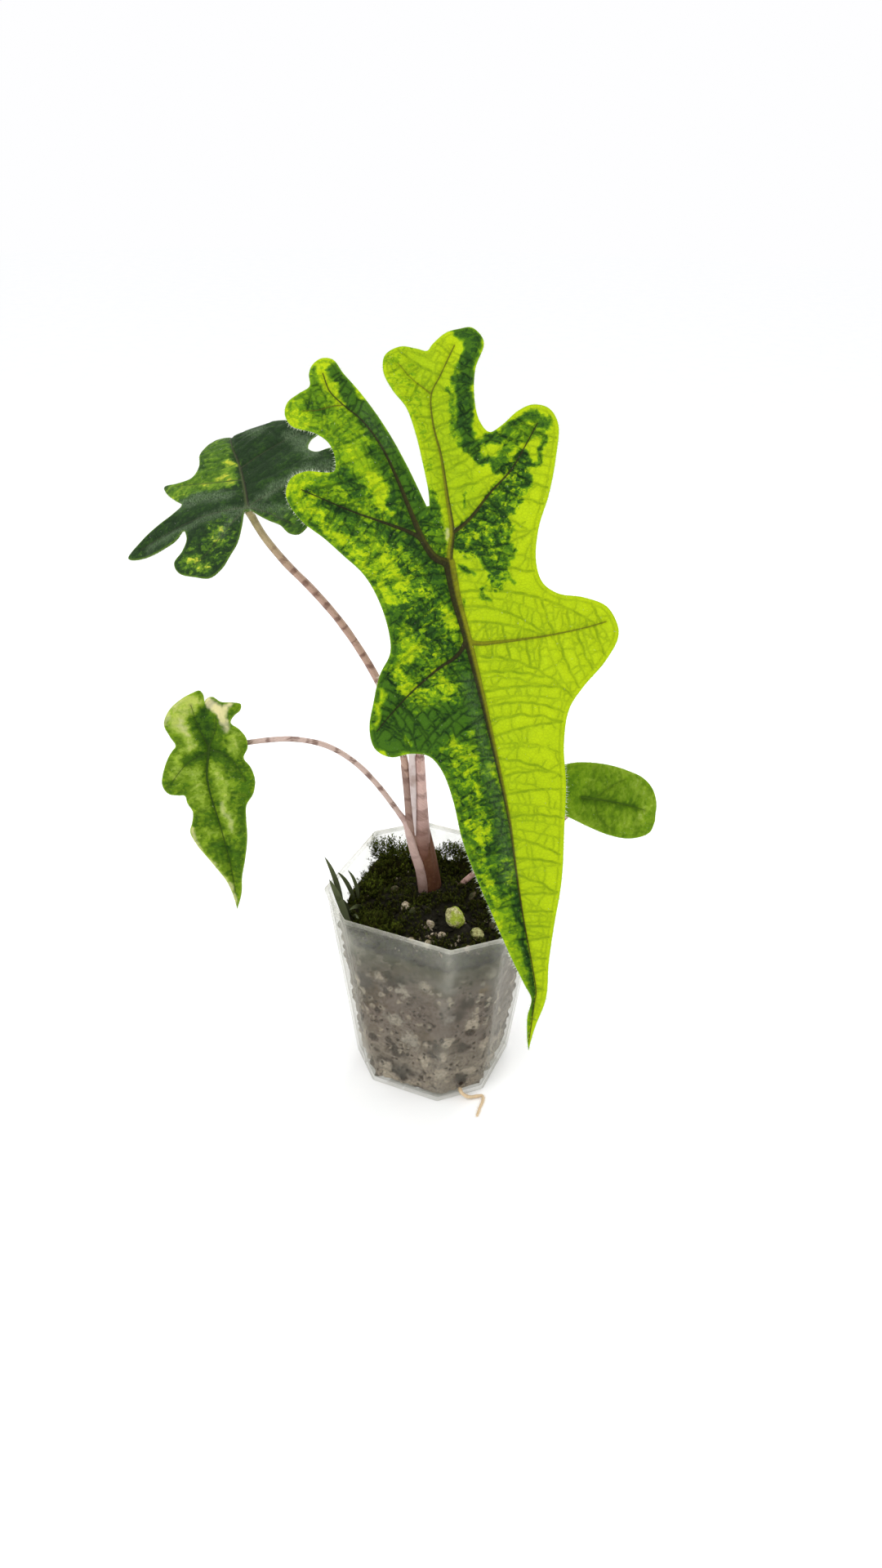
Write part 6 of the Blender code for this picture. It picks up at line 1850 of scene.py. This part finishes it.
def moss_places(patch, density, draw):
    """Feet of the shoots, spread over a cushion and just past its rim."""
    halves = patch[2]
    count = int(math.pi * halves[0] * halves[1] * density)
    reach = np.sqrt(draw.uniform(0, 1.0, count)) * 1.08
    around = draw.uniform(0, math.tau, count)
    places = oval_places(patch, halves[0] * reach * np.cos(around),
                         halves[1] * reach * np.sin(around))
    return places[inside(places, mix_edge(MOSS_WALL_GAP))]


def moss_body(feet, lengths, leans, leaf, draw):
    """Shoots with small leaves set round them: points, faces and what the finish reads."""
    at = np.linspace(0.12, 1.0, SHOOT_LEAVES)
    spin = np.arange(SHOOT_LEAVES) * math.radians(LEAF_TURN)
    flare = (0.95 - 0.45 * at)[:, None]
    bases, tips, tints = [], [], []
    for foot, tall, lean in zip(feet, lengths, leans):
        phase = draw.uniform(0, math.tau)
        tints.append(draw.uniform(0, 1))
        rise = at[:, None] * tall * np.array([*lean, 1.0])
        rise[:, :2] += lean * tall * (at ** 2)[:, None] * 0.4
        out = np.stack([np.cos(spin + phase), np.sin(spin + phase), 0.35 + at * 0.9], axis=1)
        bases.append(foot + rise)
        tips.append(bases[-1] + out * flare * leaf)
    points, faces = leaflets(np.vstack(bases), np.vstack(tips), leaf * 0.17, leaf * 0.17 * 0.7)
    return points, faces, {"height": np.tile(np.repeat(at, 4), len(feet)),
                           "tint": np.repeat(tints, SHOOT_LEAVES * 4)}


def moss_mat(patch):
    """The dark, uneven body of a cushion under its shoots."""
    _, centre, halves, _, _ = patch
    around = np.array(circle(72))
    ring = oval_places(patch, halves[0] * np.cos(around), halves[1] * np.sin(around))
    wall = mix_edge(0.2)
    for _ in range(40):
        out = ~inside(ring, wall)
        ring[out] += (np.array(centre) - ring[out]) * 0.03
    flat, faces = triangulate(ring, [], 0.7)
    rises = [moss_height(x, y, patch) - 1.1 + 0.8 * crumbs_at((x, y, 2.0), 0.6) for x, y in flat]
    return np.vstack([on_mix(flat, rises), on_mix(flat, -0.6)]), thick_faces(faces, len(flat))


def make_moss(settings):
    """Each cushion as a mat with leafy shoots, and grassy sprigs at the left rim."""
    draw = np.random.default_rng(MOSS_SEED)
    finish = moss_finish(settings)
    leaf = settings.leaflet / MM
    for patch in MOSS:
        places = moss_places(patch, settings.density, draw)
        feet = on_mix(places, [moss_height(x, y, patch) - 0.6 for x, y in places])
        lengths = draw.uniform(1.4, 3.4, len(feet))
        lengths *= 1 + (draw.uniform(0, 1, len(feet)) > 0.93) * 0.8
        leans = (places - np.array(patch[1])) * 0.035 + draw.normal(0, 0.22, places.shape)
        points, faces, fields = moss_body(feet, lengths, leans, leaf, draw)
        mat, mat_faces = moss_mat(patch)
        # the mat has height 0 all over, so it takes the shade colour: painted shade under the
        # shoots
        fields = {"height": np.append(fields["height"], np.zeros(len(mat))),
                  "tint": np.append(fields["tint"], np.full(len(mat), 0.5))}
        add_piece(patch[0] + "_cushion", np.vstack([points, mat]),
                  np.vstack([faces, mat_faces + len(points)]), finish, "moss", (patch[0],), fields)
    add_creeping_moss(settings, finish, draw)
    for i, (middle, halves, (least, greatest), number) in enumerate(TUFTS):
        places = np.array(middle) + draw.uniform(-1, 1, (number, 2)) * halves
        edge = np.linalg.norm((places - middle) / halves, axis=1)
        lengths = least + (greatest - least) * draw.uniform(0.3, 1, number) * (1 - 0.5 * edge)
        leans = draw.normal(0, 0.14, places.shape)
        points, faces, fields = moss_body(on_mix(places, 2.0), lengths, leans, leaf * 1.25, draw)
        fields["tint"] *= 0.5
        add_piece("moss_tuft_%d" % (i + 1), points, faces, finish, "moss", (), fields)
    add_sprigs()


def add_creeping_moss(settings, finish, draw):
    """Short thin moss over the mix between the cushions."""
    places = draw.uniform(-35, 35, (CREEPING_SHOOTS, 2))
    places = places[inside(places, mix_edge(1.6))]
    off_bare = np.linalg.norm((places - BARE_SPOT[0]) / BARE_SPOT[1], axis=1)
    off_stem = np.linalg.norm(places - STEM_SPOT[0], axis=1)
    places = places[(off_bare > draw.uniform(0.5, 1.1, len(places))) & (off_stem > STEM_SPOT[1])]
    lengths = draw.uniform(0.8, 1.9, len(places))
    leans = draw.normal(0, 0.3, places.shape)
    leaf = settings.leaflet / MM * 0.8
    points, faces, fields = moss_body(on_mix(places, -0.1), lengths, leans, leaf, draw)
    fields["height"] *= 0.7
    add_piece("moss_creeping", points, faces, finish, "moss", (), fields)


def add_sprigs():
    """Pointed dark blades that stand out of the left cushion."""
    bodies = []
    for foot, bend_, tip, half in SPRIGS:
        foot, bend_, tip = (np.array(place) for place in (foot, bend_, tip))
        rings = []
        for t in np.linspace(0.0, 1.0, SPRIG_RINGS):
            middle = (1 - t) ** 2 * foot + 2 * t * (1 - t) * bend_ + t * t * tip
            way = (1 - t) * (bend_ - foot) + t * (tip - bend_)
            way /= np.linalg.norm(way)
            across = np.cross(way, (0.0, -0.85, 0.5))
            across /= np.linalg.norm(across)
            normal = np.cross(across, way)
            wide = half * math.sin(math.pi * (0.2 + t * 0.8)) ** 0.8 + 0.07
            rings.append([middle - across * wide, middle - normal * (0.3 * wide + 0.06),
                          middle + across * wide, middle - normal * 0.12 * wide])
        bodies.append((np.vstack(rings), skin_faces(SPRIG_RINGS, 4)))
    points, faces = join_bodies(bodies)
    heights = np.repeat(np.linspace(0.1, 0.7, SPRIG_RINGS), 4)
    fields = {"height": np.tile(heights, len(SPRIGS)), "tint": np.zeros(len(points))}
    add_piece("moss_sprigs", points, faces, sprig_finish(), "moss", (), fields)


# Stage

def make_stage(settings):
    """Pale floor, white surroundings, two soft lights and the photograph's camera."""
    scene = bpy.context.scene
    scene.view_settings.view_transform = "Standard"
    points = [(0.0, 0.0, 0.0)]
    points += [(math.cos(turn) * reach, math.sin(turn) * reach, 0.0)
               for reach in FLOOR_RINGS for turn in circle(FLOOR_SIDES)]
    faces = []
    for k in range(FLOOR_SIDES):
        one, two = 1 + k, 1 + (k + 1) % FLOOR_SIDES
        faces.append((0, one, two))
        faces += [(one + low, one + low + FLOOR_SIDES, two + low + FLOOR_SIDES, two + low)
                  for low in range(0, FLOOR_SIDES * (len(FLOOR_RINGS) - 1), FLOOR_SIDES)]
    floor = new_solid("floor", points, faces)
    floor.data.materials.append(floor_finish(settings))
    world = bpy.data.worlds.new("white_surroundings")
    world.use_nodes = True
    world.node_tree.nodes["Background"].inputs["Color"].default_value = (*settings.sky, 1.0)
    scene.world = world
    add_light(*KEY_LIGHT, settings.key)
    add_light(*REAR_LIGHT, settings.rear)
    add_camera()


def add_light(name, place, target, size, power):
    lamp = bpy.data.lights.new(name, "AREA")
    lamp.shape = "SQUARE"
    lamp.size = size * MM
    lamp.energy = power
    light = new_object(name, lamp)
    light.location = Vector(place) * MM
    light.rotation_euler = (Vector(target) - Vector(place)).to_track_quat("-Z", "Y").to_euler()


def add_camera():
    ahead = Vector(CAMERA_AHEAD).normalized()
    right = Vector(CAMERA_RIGHT)
    right = (right - ahead * right.dot(ahead)).normalized()
    up = right.cross(ahead)
    lens = bpy.data.cameras.new("camera")
    lens.lens = CAMERA_LENS
    lens.sensor_width = 36.0
    lens.clip_start = 0.01
    camera = new_object("camera", lens)
    turned = Matrix((right, up, -ahead)).transposed().to_4x4()
    turned.translation = Vector(CAMERA_PLACE) * MM
    camera.matrix_world = turned
    bpy.context.scene.camera = camera


# Operators and panel

class ALOCASIA_OT_leaves(bpy.types.Operator):
    """Make the four leaf blades with their veins, markings and hairs"""
    bl_idname = "alocasia.leaves"
    bl_label = "Leaves"

    def execute(self, context):
        hair_finish()
        for blade in BLADES:
            make_leaf(blade, context.scene.alocasia_leaf)
        return {"FINISHED"}


class ALOCASIA_OT_stalks(bpy.types.Operator):
    """Make the four banded leaf stalks"""
    bl_idname = "alocasia.stalks"
    bl_label = "Stalks"

    def execute(self, context):
        for name in STALKS:
            make_stalk(name, context.scene.alocasia_stalk)
        return {"FINISHED"}


class ALOCASIA_OT_stem(bpy.types.Operator):
    """Make the sheathed stem base"""
    bl_idname = "alocasia.stem"
    bl_label = "Stem base"

    def execute(self, context):
        make_stem(context.scene.alocasia_stalk)
        return {"FINISHED"}


class ALOCASIA_OT_root(bpy.types.Operator):
    """Make the thin root that leaves the pot's drain slot"""
    bl_idname = "alocasia.root"
    bl_label = "Root"

    def execute(self, context):
        make_root()
        return {"FINISHED"}


class ALOCASIA_OT_pot(bpy.types.Operator):
    """Make the clear nursery pot"""
    bl_idname = "alocasia.pot"
    bl_label = "Pot"

    def execute(self, context):
        make_pot(context.scene.alocasia_pot)
        return {"FINISHED"}


class ALOCASIA_OT_mix(bpy.types.Operator):
    """Make the plug of potting mix and the loose bits on it"""
    bl_idname = "alocasia.mix"
    bl_label = "Potting mix"

    def execute(self, context):
        make_mix(context.scene.alocasia_mix)
        return {"FINISHED"}


class ALOCASIA_OT_stones(bpy.types.Operator):
    """Make the pale grains and the two green lumps"""
    bl_idname = "alocasia.stones"
    bl_label = "Grains and lumps"

    def execute(self, context):
        make_stones(context.scene.alocasia_mix)
        return {"FINISHED"}


class ALOCASIA_OT_moss(bpy.types.Operator):
    """Make the moss cushions and the sprigs"""
    bl_idname = "alocasia.moss"
    bl_label = "Moss"

    def execute(self, context):
        make_moss(context.scene.alocasia_moss)
        return {"FINISHED"}


class ALOCASIA_OT_stage(bpy.types.Operator):
    """Set the floor, the lights and the camera"""
    bl_idname = "alocasia.stage"
    bl_label = "Stage"

    def execute(self, context):
        make_stage(context.scene.alocasia_stage)
        return {"FINISHED"}


class ALOCASIA_PT_panel(bpy.types.Panel):
    """Lists the plant's pieces with their settings"""
    bl_idname = "ALOCASIA_PT_panel"
    bl_label = "Potted Alocasia"
    bl_space_type = "VIEW_3D"
    bl_region_type = "UI"
    bl_category = "Alocasia"

    def draw(self, context):
        for group, operators in PANEL_ROWS:
            box = self.layout.box()
            settings = getattr(context.scene, group)
            for key in settings.__annotations__:
                box.prop(settings, key)
            for operator in operators:
                box.operator(operator.bl_idname)


PANEL_ROWS = (
    ("alocasia_leaf", (ALOCASIA_OT_leaves,)),
    ("alocasia_stalk", (ALOCASIA_OT_stalks, ALOCASIA_OT_stem, ALOCASIA_OT_root)),
    ("alocasia_pot", (ALOCASIA_OT_pot,)),
    ("alocasia_mix", (ALOCASIA_OT_mix, ALOCASIA_OT_stones)),
    ("alocasia_moss", (ALOCASIA_OT_moss,)),
    ("alocasia_stage", (ALOCASIA_OT_stage,)),
)
GROUPS = {
    "alocasia_leaf": ALOCASIA_PG_leaf,
    "alocasia_stalk": ALOCASIA_PG_stalk,
    "alocasia_pot": ALOCASIA_PG_pot,
    "alocasia_mix": ALOCASIA_PG_mix,
    "alocasia_moss": ALOCASIA_PG_moss,
    "alocasia_stage": ALOCASIA_PG_stage,
}
OPERATORS = [operator for _, operators in PANEL_ROWS for operator in operators]


def register():
    for name, group in GROUPS.items():
        bpy.utils.register_class(group)
        setattr(bpy.types.Scene, name, PointerProperty(type=group))
    for operator in OPERATORS:
        bpy.utils.register_class(operator)
    bpy.utils.register_class(ALOCASIA_PT_panel)


def unregister():
    bpy.utils.unregister_class(ALOCASIA_PT_panel)
    for operator in reversed(OPERATORS):
        bpy.utils.unregister_class(operator)
    for name, group in reversed(GROUPS.items()):
        delattr(bpy.types.Scene, name)
        bpy.utils.unregister_class(group)


def main():
    register()
    bpy.ops.alocasia.stage()
    bpy.ops.alocasia.pot()
    bpy.ops.alocasia.mix()
    bpy.ops.alocasia.stones()
    bpy.ops.alocasia.moss()
    bpy.ops.alocasia.stem()
    bpy.ops.alocasia.stalks()
    bpy.ops.alocasia.leaves()
    bpy.ops.alocasia.root()


if __name__ == "__main__":
    main()
